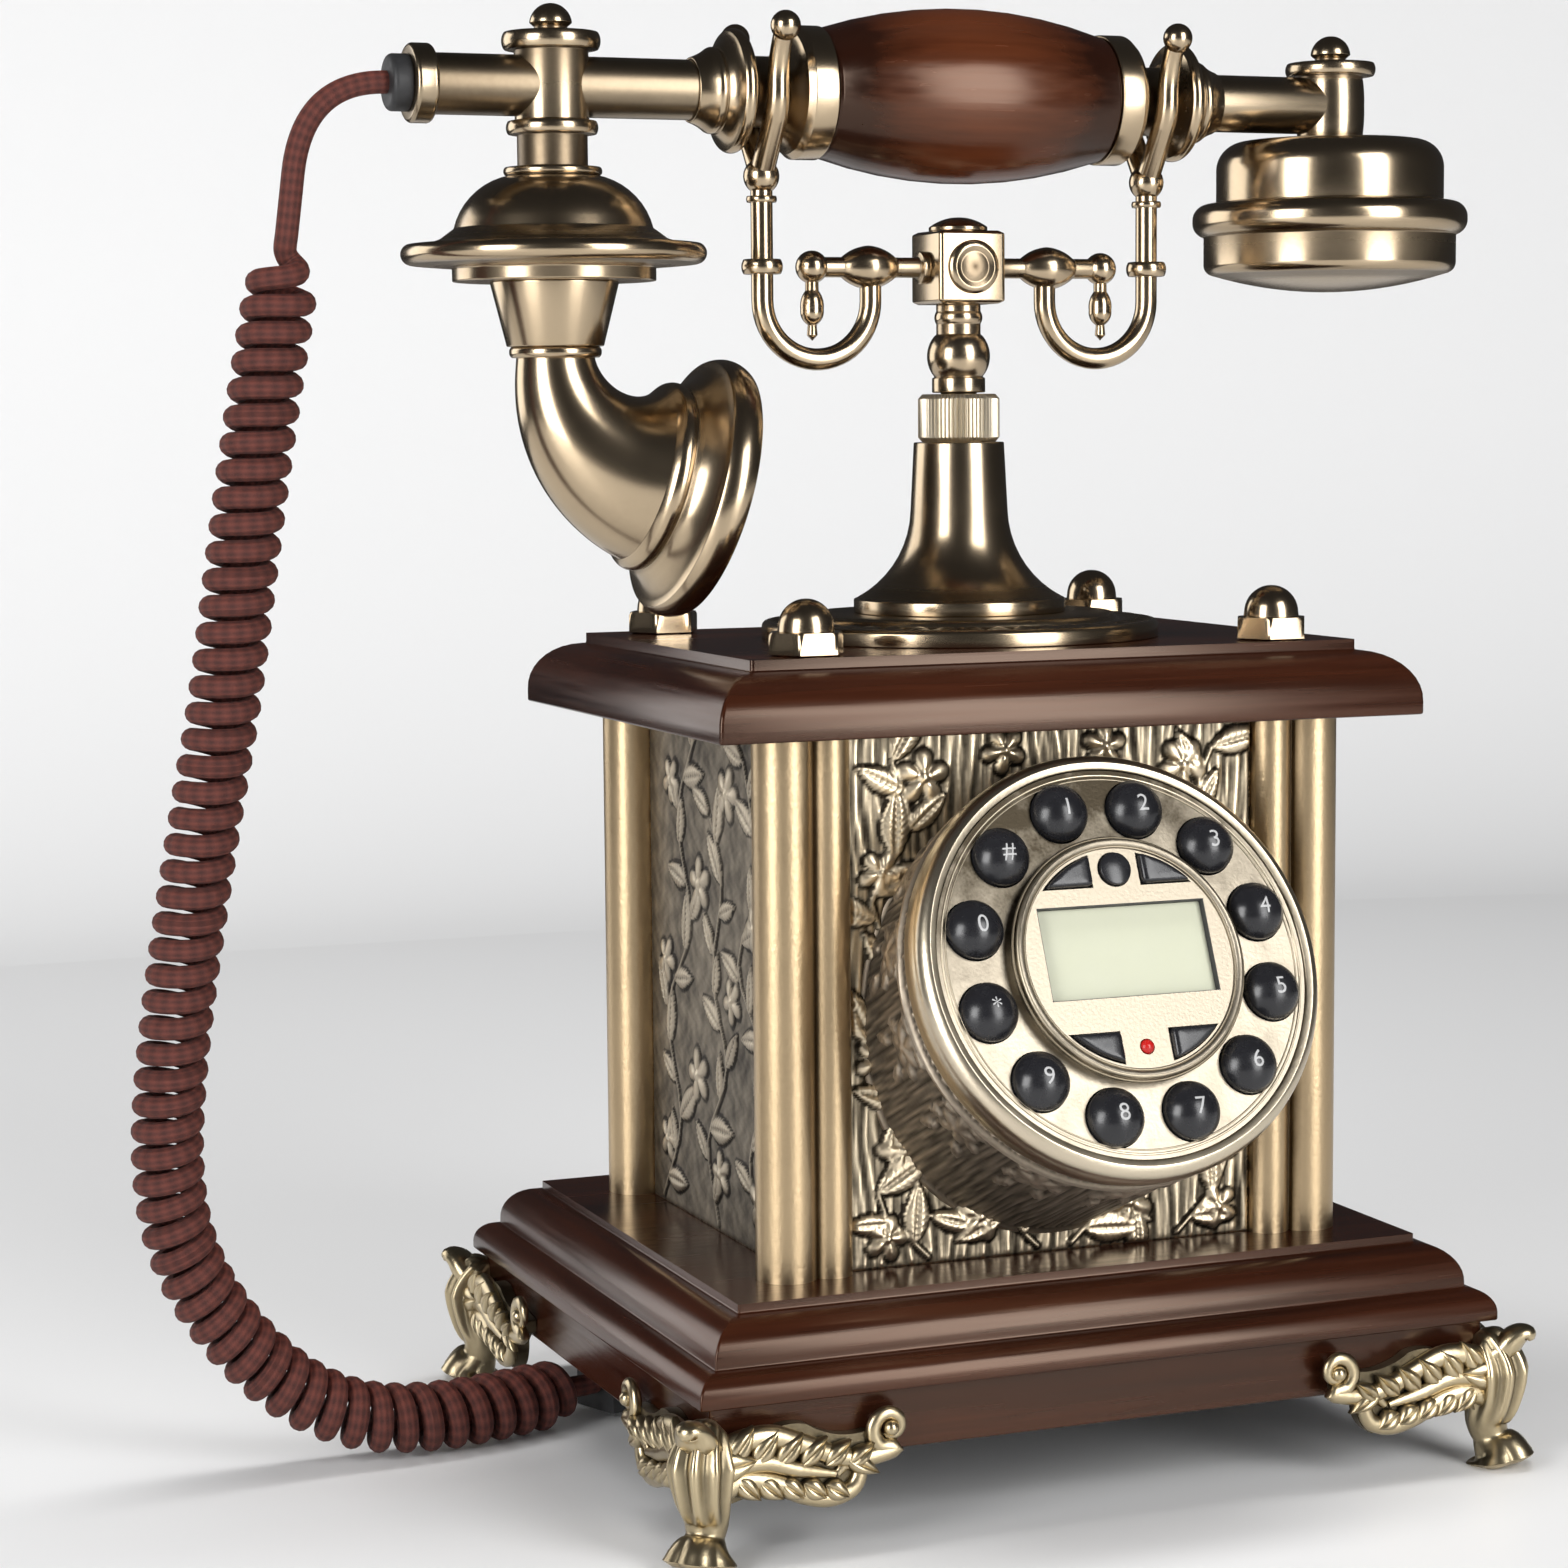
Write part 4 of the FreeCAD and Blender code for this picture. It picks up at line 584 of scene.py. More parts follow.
def makePosts():
    x, y, radius, back, left, right, front, crown, panel = postSize.values()
    angle = np.linspace(-acos((panel - x) / radius), acos((right - x) / radius), 40)
    shaft = np.stack([x + radius * np.cos(angle), y + radius * np.sin(angle)], 1)
    shoulder = front - crown
    rib = [(right, shoulder), (left, shoulder, 2 * crown / (right - left)), (left, back)]
    plan = outline([tuple(p) for p in shaft] + rib, 0.3, closed=True)
    nearest = np.linalg.norm(plan - np.array([right, shaft[-1, 1]]), axis=1)
    # patina and painted shade: darker in the groove between shaft and rib
    patinaAndShade = unit(nearest / 2.2)  # dark in the groove between shaft and rib
    heights = np.linspace(level["base"], level["column"], 14)
    shell = Shell()
    for sx, sy in corners:
        shell.grid(layers(plan * (sx, sy), heights), False, True, None, patinaAndShade, capRows=True)
    shell.finish("cornerPosts", "corner_posts", "post")


makePosts()


# Reliefs: heights over a flat field from leaves, blossoms and stems, the highest one wins
def leafHeight(u, v, spot, length, width, angle):
    du, dv = u - spot[0], v - spot[1]
    along, across = du * cos(angle) + dv * sin(angle), dv * cos(angle) - du * sin(angle)
    half = width * np.sin(pi * unit(along / length) ** 0.8) + 1e-3
    vein = 0.4 * np.exp(-(across / (0.16 * width)) ** 2) + 0.12 * np.cos(along * 4.5 - np.abs(across) * 3.0)
    return np.where((along > 0) & (along < length), halfRound(across / half) * (1 - vein), 0)


def blossomHeight(u, v, spot, radius, petals=5, turn=0.3):
    du, dv = u - spot[0], v - spot[1]
    out = np.hypot(du, dv) / radius
    swing = np.abs(np.cos((np.arctan2(dv, du) + turn) * petals / 2))
    edge = 0.5 + 0.5 * swing ** 0.6
    petal = halfRound(out / edge) * (0.55 + 0.45 * swing)
    heart = halfRound(out / 0.26) * 1.15
    return np.maximum(petal * np.clip(out * 4, 0.25, 1), heart)


def stemHeight(u, v, path, width):
    nearest = np.full(u.shape, 1e9)
    for start, stop in zip(path[:-1], path[1:]):
        way = stop - start
        t = unit(((u - start[0]) * way[0] + (v - start[1]) * way[1]) / (way @ way))
        nearest = np.minimum(nearest, np.hypot(u - start[0] - t * way[0], v - start[1] - t * way[1]))
    return halfRound(nearest / width)


def foliage(u, v, stems, leafSize, blossoms, blossomSize, step):
    height = np.zeros(u.shape)
    dice = np.random.default_rng(11)
    for path in stems:
        path = smoothPath(path, 60)
        height = np.maximum(height, 0.55 * stemHeight(u, v, path[::3], 0.8))
        length = runLength(path)
        for k, place in enumerate(np.arange(step / 2, length[-1], step)):
            i = min(max(int(np.searchsorted(length, place)), 1), 58)
            heading = atan2(*(path[i + 1] - path[i - 1])[::-1])
            lean = heading + (0.75 if k % 2 else -0.75) + dice.uniform(-0.2, 0.2)
            grown = leafSize * dice.uniform(0.8, 1.2)
            height = np.maximum(height, 0.85 * leafHeight(u, v, path[i], grown, grown * 0.24, lean))
    for k, spot in enumerate(blossoms):
        grown = blossomSize * (1.0 if k % 2 else 0.85)
        height = np.maximum(height, blossomHeight(u, v, spot, grown, turn=k * 0.7))
    return height


# Bark stripes: three sets of upright ridges that sway and break off
def barkHeight(u, v):
    sway = 1.1 * np.sin(v / 13 + u / 9) + 0.5 * np.sin(v / 5.3 - u / 4.1)
    broad = np.sin((u + sway) * tau / 4.3 + 0.9 * np.sin(v / 8 + u / 6))
    middle = np.sin((u + 0.7 * sway) * tau / 2.3 + 1.4 * np.sin(v / 6.5 - u / 3))
    fine = np.sin((u + 0.5 * sway) * tau / 1.1 + 1.1 * np.sin(v / 3.7 + u))
    breaks = np.sin(v * tau / 14 + 5 * np.sin(u * 0.9))
    return unit(0.46 + 0.2 * broad + 0.3 * middle + 0.12 * fine + 0.14 * breaks)


# Soft uneven ground: low lumps about nine millimetres across
def lumpHeight(u, v):
    slow = np.sin(0.7 * u + 1.1 * np.sin(0.45 * v)) * np.sin(0.62 * v + 1.3 * np.sin(0.5 * u))
    return 0.44 + 0.12 * slow + 0.05 * np.sin(1.9 * u + 2 * np.sin(1.3 * v)) * np.sin(1.7 * v)


panel = dict(low=50.4, tall=115.8, rear=-1.6, ground=0.45, margin=1.0)


def reliefPanel(name, node, look, wide, leaves, depth, bedHeight, faces):
    # faces turn (u, v, height) into points; the sheet closes behind itself; steep edges and the low ground
    # hold painted shade
    low, high = panel["low"], panel["low"] + panel["tall"]
    u, v = np.meshgrid(np.linspace(-wide / 2, wide / 2, 200), np.linspace(low, high, 240))
    lift, bed = foliage(u, v, *leaves), bedHeight(u, v)
    bare = lift < 0.05
    raised = np.maximum(lift * depth, bed * panel["ground"] * bare)
    edge = np.minimum(np.minimum(u + wide / 2, wide / 2 - u), np.minimum(v - low, high - v))
    raised = raised * unit(edge / panel["margin"])
    steep = np.hypot(*np.gradient(lift))
    # painted highlight on raised leaves and bark ridges, painted shade in the low ground and along steep
    # edges
    patinaAndShade = unit(0.04 + bed ** 1.7 * bare + 1.05 * lift - 1.6 * steep * (lift < 0.5))
    shell = Shell()
    for face in faces:
        front = face(u, v, raised)
        rear = face(u[:, ::-1], v[:, ::-1], np.full(u.shape, panel["rear"]))
        shell.grid(front, patinaAndShade=patinaAndShade)
        rim = np.array([0, -1])
        shell.grid(rear[np.ix_(rim, rim)])
        for frontEdge, rearEdge in ((front[0], rear[0, ::-1]), (front[-1], rear[-1, ::-1]),
                                    (front[:, 0], rear[:, -1]), (front[:, -1], rear[:, 0])):
            shell.grid(np.stack([frontEdge, np.linspace(rearEdge[0], rearEdge[-1], len(frontEdge))]))
    shell.finish(name, node, look, sharp=180)


frontStem = [(30, 52), (42, 66), (33, 82), (43, 98), (36, 114), (43, 130), (34, 146), (40, 164)]
frontStems = [[(s * x, z) for x, z in stem] for stem in (frontStem, [(4, 52), (14, 60), (24, 55)])
              for s in (-1, 1)]
frontBlossom = [(40, 57), (36, 76), (42, 96), (37, 116), (41, 136), (31, 156), (12, 161), (18, 60)]
frontBlossoms = [(s * x, z) for s in (-1, 1) for x, z in frontBlossom]
sideStems = [[(-34, 52), (-22, 72), (-30, 96), (-14, 118), (-22, 142), (-8, 164)],
             [(30, 52), (22, 70), (32, 92), (16, 112), (28, 134), (18, 163)],
             [(2, 52), (-4, 70), (8, 88), (0, 108), (6, 130), (-2, 146)]]
sideBlossoms = [(-30, 66), (-10, 84), (-30, 108), (-8, 128), (-26, 150), (28, 62), (12, 104), (31, 92),
                (26, 122), (10, 150), (4, 64)]
reliefPanel("frontRelief", "front_panel", "relief", 96.4, (frontStems, 14.0, frontBlossoms, 6.6, 7.5), 2.0,
            barkHeight, [lambda u, v, h: np.stack([u, -48.5 - h, v], -1)])
reliefPanel("rearRelief", "rear_panel", "relief", 96.4, (sideStems, 13.0, sideBlossoms, 7.0, 8.5), 1.7,
            barkHeight, [lambda u, v, h: np.stack([-u, 48.5 + h, v], -1)])
reliefPanel("sideReliefs", "side_panels", "sideRelief", 83.4, (sideStems, 13.0, sideBlossoms, 7.0, 9.0), 1.2,
            lumpHeight, [lambda u, v, h: np.stack([-60.3 - h, -u, v], -1),
                         lambda u, v, h: np.stack([60.3 + h, u, v], -1)])
print("column made")


# Drum: leaves and blossoms on the wall behind the bezel, cut off by the front panel's plane
def makeDrum():
    radius, front, wall, plane, repeats = 44.6, -13.0, 2.2, 47.2, 14
    leaves = ((3.2, 9.5, 5.0, 1.4, 0.6, 0.75), (2.5, 15.0, 6.0, 1.5, 1.0, 0.75),
              (1.5, 4.5, 5.5, 1.2, 0.1, 0.7))
    tilt = radians(dial["tilt"])
    around, deep = np.meshgrid(fullTurn(420), np.linspace(0, 1, 60))
    rear = -(-dial["y"] - plane - radius * np.sin(around) * sin(tilt)) / cos(tilt)
    z = front + (rear - front) * deep
    arc, drop = around * radius, front - z
    repeat = tau * radius / repeats
    u = (arc % repeat) - repeat / 2
    height = 0.8 * blossomHeight(u, drop - 9.0, (0, 0), 5.6)
    for across, down, length, width, lean, high in leaves:
        for side, angle in ((-1, round(pi - lean, 2)), (1, lean)):
            leaf = leafHeight(u, drop, (side * across, down), length, width, angle)
            height = np.maximum(height, high * leaf)
    bark = barkHeight(arc * 1.3, drop)
    for distance, width in ((drop - 2.2, 0.7), (z - rear - 1.2, 1.0)):  # a bead along both edges
        height = np.maximum(height, 0.9 * np.exp(-(distance / width) ** 2))
    lift = np.maximum(height * 1.5, bark * 0.4)
    # painted highlight on raised leaves, blossoms, beads and bark ridges, painted shade in the low ground
    patinaAndShade = unit(0.08 + 0.75 * bark ** 1.5 * (height < 0.08) + 1.1 * height)
    surface = np.concatenate([polar(radius + lift, around, z), polar(radius - wall, around, z)[[-1, 0]]])
    patinaAndShade = np.concatenate([patinaAndShade, np.full((2, around.shape[1]), 0.5)])
    shell = Shell().grid(surface, True, True, turnDial, patinaAndShade)
    shell.finish("drumRelief", "dial_housing", "drum", sharp=180)


makeDrum()

# Bezel, and the fine rings on the plate
bezelProfile = [(42.4, -13), (44.6, -13), (45.9, -9.36, 0.2), (45.9, -5.2, 0.12), (43.6, -1.7, 0.35),
                (42.2, -2.1), (42.2, -4.5), (40.6, -4.5), (41.4, -9.1), (42.4, -11.05)]
lathe(bezelProfile, turnDial, 160).finish("dialBezel", "dial_bezel", "pale")
ringSizes = ((25.2, 0.7, 1.0, 0.55), (24.0, 0.3, 1.2, 0.35), (26.2, 0.35, 0.2, 0.2), (40.9, 0.28, -2.5, 0.8),
             (40.0, 0.2, -2.5, 0.5))


def makeRings():
    shell = Shell()
    t, angle = fullTurn(200)[:, None], fullTurn(10)[None, :]
    for radius, thick, z, patinaAndShade in ringSizes:
        surface = polar(radius + thick * np.cos(angle), t, z + thick * np.sin(angle))
        shell.grid(surface, True, True, turnDial, patinaAndShade)
    shell.finish("dialRings", None, "pale", sharp=60)


makeRings()

# Keys: domes in a flat ring, with their marks laid on the dome
keyMarks = {"key_" + dict(zip("*#", ("star", "hash"))).get(mark, mark): mark for mark in "123456789*0#"}
keySize = dict(circle=33.9, radius=6.2, rise=4.0, top=3.0, mark=5.2)
keyProfile = [(0, -9.5), (6.8, -9.5), (6.8, -8.4), (6.2, -8.4), (6.2, -1.0), (0, 3.0, capBulge(6.2, 4.0))]


def markMesh(name, text, size, matrix, height, body):
    # flat text made a mesh, then each point lifted onto the surface under it
    curve = bpy.data.curves.new(name, "FONT")
    curve.body, curve.size, curve.align_x, curve.align_y = text, size, "CENTER", "CENTER"
    curve.resolution_u = 6
    mesh = curveMesh(name, curve)
    work = bmesh.new()
    work.from_mesh(mesh)
    bmesh.ops.remove_doubles(work, verts=work.verts, dist=1e-4)
    for limit in (2.0, 1.0, 0.5):
        bmesh.ops.triangulate(work, faces=work.faces)
        bmesh.ops.subdivide_edges(work, edges=[e for e in work.edges if e.calc_length() > limit], cuts=1)
    bmesh.ops.triangulate(work, faces=work.faces)
    work.to_mesh(mesh)
    work.free()
    spots = meshPoints(mesh)
    spots[:, 2] = height(spots[:, 0], spots[:, 1])
    mesh.vertices.foreach_set("co", (moved(spots, matrix) * mm).ravel())
    mesh.materials.clear()
    mesh.materials.append(paint["digit"])
    piece = addObject(name, mesh)
    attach(piece, body)


def domeHeight(x, y):
    # the dome's ball, a hair above its surface
    ball = (keySize["radius"] ** 2 + keySize["rise"] ** 2) / (2 * keySize["rise"])
    return np.sqrt(ball ** 2 - x ** 2 - y ** 2) + keySize["top"] - ball + 0.06


for number, (name, mark) in enumerate(keyMarks.items()):
    angle = radians(30 * number - 15)
    spot = turnDial @ at(keySize["circle"] * sin(angle), keySize["circle"] * cos(angle), 0)
    lathe(keyProfile, spot, 48, shadeAndPatinaInHollows=False).finish(name + "Dome", name, "key", name)
    markMesh(name + "Mark", mark, keySize["mark"], spot, domeHeight, name)
redialProfile = [(0, -7), (3.5, -7), (3.5, 2.0), (0, 2.6, capBulge(3.5, 0.6))]
lampProfile = [(0, -4), (2.3, -4), (2.3, -1), (1.5, -1), (1.5, 1.2), (0, 2.2, capBulge(1.5, 1.0))]
redial = lathe(redialProfile, turnDial @ at(0, 19.1, 0), 40, shadeAndPatinaInHollows=False)
redial.finish("redialDome", "redial_key", "key", "redial_key")
lamp = lathe(lampProfile, turnDial @ at(0, -19.1, 0), 32, shadeAndPatinaInHollows=False)
lamp.finish("lampLens", "indicator_led", "lamp")


# Corner keys: the segment outline with eased edges and a softly raised top
def cornerKey(name, right, up):
    near, low, circle = 5.8, 15.7, 22.9
    far, high = sqrt(circle ** 2 - low ** 2), sqrt(circle ** 2 - near ** 2)
    sweep = atan2(high, near) - atan2(low, far)
    plan = outline([(near, low), (far, low), (near, high, tan(sweep / 4))], 1.1, closed=True)
    centre = plan.mean(0)
    insets = ((0, -7.0), (0, 1.7), (0.04, 2.15), (0.12, 2.45), (0.28, 2.6), (0.6, 2.65))
    rows = [layers((plan + (centre - plan) * inset) * (right, up), [z])[0] for inset, z in insets]
    shell = Shell().grid(np.array(rows), False, True, turnDial, capRows=True)
    shell.finish(name + "Cap", name, "key", name)


for name, right, up in (("flash_key", -1, 1), ("memory_key", 1, 1), ("volume_key", -1, -1),
                        ("set_key", 1, -1)):
    cornerKey(name, right, up)


def makeShadeLining(halfX=19.4, halfY=10.0, thick=0.14, low=-0.8, high=0.95, lift=1.7):
    # a dark sheet on the recess walls round the display, standing in for the recess's shade: outer foot,
    # outer top, inner top, inner foot
    rows = [layers(boxRing(halfX - i, halfY - i, 0.4), [z])[0] + np.array([0, lift, 0])
            for i, z in ((0, low), (0, high), (thick, high), (thick, low))]
    Shell().grid(np.array(rows), True, True, turnDial).finish("displayShadeLining", None, "plastic")


makeShadeLining()
print("dial made")


# Long bolts' acorn nuts: a six-sided ring under a dome
def makeBolts():
    shell = Shell()
    dome = [(0, 4.8), (6.1, 4.8), (5.9, 6.75), (0, 12.0, capBulge(5.9, 5.25))]
    turns = fullTurn(72)
    hexagon = 7.3 / np.cos((turns % (tau / 6)) - tau / 12)
    rows = [polar(np.minimum(hexagon, limit), turns, z)
            for limit, z in ((7.0, 0), (9, 0.4), (9, 4.4), (7.9, 5.0), (6.6, 5.0))]
    for sx, sy in corners:
        spot = at(55.6 * sx, 44.5 * sy, level["top"])
        shell.grid(np.array(rows), False, True, spot, capRows=True)
        lathe(dome, spot, 48, shell=shell)
    shell.finish("acornNuts", "acorn_bolts")


makeBolts()


# Cradle: plate with a tongue pattern, trumpet foot, ribbed collar, baluster, hub, arms and hooks
def tongues(r, z, angle):
    zone = unit(1 - ((r - 39.8) / 3.6) ** 2) * (z > 3)
    return 0 * r, zone * 0.8 * (np.abs(np.sin(angle * 22)) - 0.4)


def ribs(r, z, angle):
    return 0.22 * np.cos(angle * 60) * (r > 6) * (z > 0.9) * (z < 9.9), 0 * z


plateProfile = [(4.98, 0), (45, 0), (45, 2.75), (43.4, 3.96, 0.4), (42.2, 3.96), (41, 3.96), (39.8, 3.96),
                (38.6, 3.96), (37.4, 3.96), (36, 3.96), (34, 5.5, 0.3), (4.98, 5.5)]
trumpet = [(4.98, 0), (24, 0), (24, 3.07), (23.2, 3.46), (11, 23.04, -0.27), (10.2, 38.4), (4.98, 38.4)]
collarShape = [(4.08, 0), (8.3, 0), (9, 1.1), (9, 9.7), (8.3, 10.8), (4.08, 10.8)]
stemShape = [(0, 140.2), (7, 140.2), (7, 143.2), (4, 143.2), (4, 237.5), (6, 237.5), (6, 240.8), (5.4, 241.0),
             (5.4, 250.3, 0.37), (5, 250.5), (5, 252.9), (5, 255.7, 0.3), (5, 257.3), (0, 257.3)]
plate = lathe(plateProfile, at(0, 0, level["top"]), 264, ripple=tongues)
plate.finish("cradlePlate", "cradle_plate")
lathe(trumpet, at(0, 0, level["plate"]), 120).finish("pedestalTrumpet", "pedestal")
collar = lathe(collarShape, at(0, 0, level["pedestal"]), 360, ripple=ribs)
collar.finish("ribbedCollar", "knurled_collar", "knurl", sharp=60)
lathe(stemShape, None, 72).finish("balusterStem", "cradle_stem", body="cradle")


def makeHub(half=8.1, tall=16.2):
    block = [(-1, 0), (0, 0.6), (0, tall - 0.6), (-1, tall)]
    boss = [(0, 0), (6, 0), (6, 0.8), (4.6, 1.6, 0.2), (3.4, 1.1), (0, 1.5, 0.1)]
    dome = [(0, 0), (6.6, 0), (6.6, 1.0), (0, 3.2, capBulge(6.6, 2.2))]
    shell = boxed(block, half, half, 1.0, 0.6, matrix=at(0, 0, level["hub"]))
    for side in (-1, 1):
        lathe(boss, at(0, 8.0 * side, level["arm"]) @ rotated(-90 * side, "X"), 48, shell=shell)
    lathe(dome, at(0, 0, level["hub"] + tall), 48, shell=shell)
    shell.finish("cradleHub", "cradle_block", body="cradle")


def makeArms(reach=35.6):
    shell = Shell()
    bar = [(0, 8.1), (3.65, 8.1), (3.65, 9.7), (2.25, 10.1), (2.25, 15.6), (4.85, 22, 0.16),
           (2.25, 28.4, 0.16), (2.25, reach), (0, reach)]
    drop = [(0, -16.25), (1.2, -15), (1.0, -12.7), (2.6, -9.3, 0.3), (1.5, -5.2, 0.2), (1.5, 0), (0, 0)]
    for side in (1, -1):
        lathe(bar, at(0, 0, level["arm"]) @ rotated(90 * side, "Y"), 40, shell=shell)
        lathe(drop, at(reach * side, 0, level["arm"]), 32, shell=shell)
        ballShape((reach * side, 0, level["arm"]), 3.65, shell)
    shell.finish("cradleArms", "cradle_arms", body="cradle")


# Hooks: a half round bend, a straight leg with two beads, and a fork that seats the handset
hookSize = dict(out=47.4, bend=12.95, leg=258.0, start=262.0, knuckle=285.1, seat=10.6, flare=20.0)


def makeHook(name, node, side):
    out, bend, leg, start, knuckle, seat, flare = hookSize.values()
    swing = np.linspace(pi, tau, 28)
    curve = np.stack([side * (out - bend + bend * np.cos(swing)), 0 * swing, leg + bend * np.sin(swing)], 1)
    path = np.vstack([[side * (out - 2 * bend), 0, start], curve,
                      [side * out, 0, 272], [side * out, 0, knuckle]])
    shell = tube(path, 2.45, 24)
    for radius, low, high in ((4.1, 263.75, 267.05), (3.2, 279.4, 280.8)):
        bead = [(2, low), (radius, low), (radius, high, 0.3), (2, high)]
        lathe(bead, at(side * out, 0, 0), 40, shell=shell)
    ballShape((side * out, 0, knuckle), 4.0, shell)
    near = np.linspace(-asin(seat / (level["handset"] - knuckle)), 0, 14)
    far = np.linspace(0, radians(40), 12)[1:]
    y = np.concatenate([[0], seat * np.cos(near), seat + flare * (1 - np.cos(far))])
    z = np.concatenate([[knuckle - level["handset"]], seat * np.sin(near), flare * np.sin(far)])
    for front in (-1, 1):
        prong = np.stack([np.full(len(y), side * out), y * front, z + level["handset"]], 1)
        tube(prong, np.linspace(2.7, 2.2, len(y)), 20, shell, side=(1, 0, 0))
        ballShape(prong[-1], 3.3, shell, 28)
    shell.finish(name, node, body="cradle")


makeHub()
makeArms()
makeHook("leftHook", "left_hook", -1)
makeHook("rightHook", "right_hook", 1)
print("cradle made")

# Handset: turned pieces along X, then the mouth and ear fittings along Z
gripShape = [(6.55, -34.4), (13.6, -34.4), (14.3, -33.2, 0.3), (14.3, 33.2, 0.152), (13.6, 34.4, 0.3),
             (6.55, 34.4)]
ferrule = [(6.55, 34.4), (14.6, 34.4), (14.6, 39.8), (13.4, 41.2), (9.1, 43.9, -0.15), (7.7, 43.9),
           (7.7, 50.8), (8.9, 51.2), (12.7, 52.8, -0.15), (12.9, 55.6, 0.5), (9.5, 58.0, -0.15), (9.1, 58.2),
           (9.1, 60.0, 0.3), (7.05, 64.0, -0.1), (6.55, 64.0)]
rightTube = [(5.2, 25.4), (6.5, 25.4), (6.5, 93.5), (5.2, 93.5)]
leftTube = [(5.2, 25.4), (6.5, 25.4), (6.5, 122.5), (7.6, 122.5), (8.4, 123.7, 0.4), (8.4, 126.3),
            (7.6, 127.5, 0.4), (5.2, 127.5)]
mouth, ear = at(-95.5, 0, level["handset"]), at(95.5, 0, level["handset"])
lathe(gripShape, alongX, 120).finish("gripBarrel", "handset_grip", "grip", "handset")
ferrules = lathe(ferrule, alongX, 96)
lathe(ferrule, alongMinusX, 96, shell=ferrules).finish("gripFerrules", "grip_collars", body="handset")
tubes = lathe(rightTube, alongX, 72)
lathe(leftTube, alongMinusX, 72, shell=tubes).finish("handsetTubes", "handset_tubes", "tube", "handset")


def makeFittings(rows):
    for name, node, spot, segments, points in rows:
        lathe(points, spot, segments).finish(name, node, body="handset")


makeFittings([
    ("mouthTee", "mouth_tee", mouth, 72, [
        (0, -7.4), (8, -7.4), (8, 7.7), (10.1, 7.7), (10.1, 11.4, 0.3), (4.2, 11.4), (3.4, 12.4), (4.6, 13.4),
        (0, 17.6, capBulge(4.6, 4.2))]),
    ("mouthSaucer", "mouth_cap", mouth, 120, [
        (3, -28), (13, -28), (13, -41.5), (22, -41.5), (22, -38.6), (30.6, -37.9), (31.8, -33.6, 0.8),
        (24.5, -32.4, -0.12), (21.5, -30.2), (9.4, -18.9, 0.3), (10.3, -18.9), (10.3, -17.2, 0.4),
        (7.6, -17.2), (7.6, -10.2), (9.5, -10.2), (9.5, -7.4, 0.3), (3, -7.4)])])

# Trumpet: rings along a bend whose radius grows, outer and inner skins
hornSize = dict(bend=26.1, turn=74.4, small=8.5, large=19.3, wall=1.6, drop=57.8)


def makeHorn():
    bend, degrees, small, large, wall, drop = hornSize.values()
    turn = radians(degrees)
    neck = [(6.9, -57.8), (9.4, -57.8), (10, -56.6, 0.3), (9.4, -55.4, 0.3), (10.5, -55.4), (14, -41.5),
            (12.4, -41.5), (6.9, -55)]
    bell = [(17.7, 0), (19.3, 0), (20.5, 0.98), (20.5, 4.59, 0.35), (21.5, 5.25), (26.6, 9.18, -0.12),
            (27.8, 9.51), (27.8, 16.4, 0.35), (24.4, 16.4), (23.4, 14.1, -0.2), (17.7, 3.28, 0.16)]
    shell = lathe(neck, mouth, 72)
    swing = np.linspace(0, turn, 40)
    grow = small + (large - small) * (swing / turn) ** 1.25
    swing = np.concatenate([swing, swing[::-1]])[:, None]
    grow = np.concatenate([grow, grow[::-1] - wall])[:, None]
    angle = fullTurn(72)[None, :]
    out = grow * np.cos(angle)
    x = bend * (1 - np.cos(swing)) + out * np.cos(swing)
    z = -drop - bend * np.sin(swing) + out * np.sin(swing)
    shell.grid(np.stack([x, grow * np.sin(angle), z], -1), True, True, mouth)
    shell.finish("hornTrumpet", "horn", body="handset")
    end = at(bend * (1 - cos(turn)), 0, -drop - bend * sin(turn)) @ rotated(180 - degrees, "Y")
    lathe(bell, mouth @ end, 120).finish("hornBell", "horn_bell", body="handset")


makeHorn()
makeFittings([
    ("earTower", "ear_tower", ear, 72, [
        (0, -8), (7.4, -8), (7.9, 0, 0.05), (7.4, 6.9, 0.05), (10, 6.9), (10, 9.9, 0.3), (4.2, 9.9),
        (3.4, 10.8), (4.6, 11.8), (0, 16.2, capBulge(4.6, 4.4))]),
    ("earCup", "earpiece_cup", ear, 120, [
        (3, -10), (18.5, -10), (24.5, -14.6, -0.35), (24.5, -22.4), (26.4, -22.4), (26.4, -14.2),
        (20.4, -8, 0.38), (3, -8)]),
    ("earCap", "earpiece_cap", ear, 120, [
        (0, -43), (27.1, -38.9, capBulge(27.1, 4.1)), (29.3, -36.6, 0.35), (29.3, -30), (31.9, -26.2, 0.38),
        (29, -22.4, 0.38), (24.5, -22.4), (24.5, -31), (0, -31)])])
print("handset made")


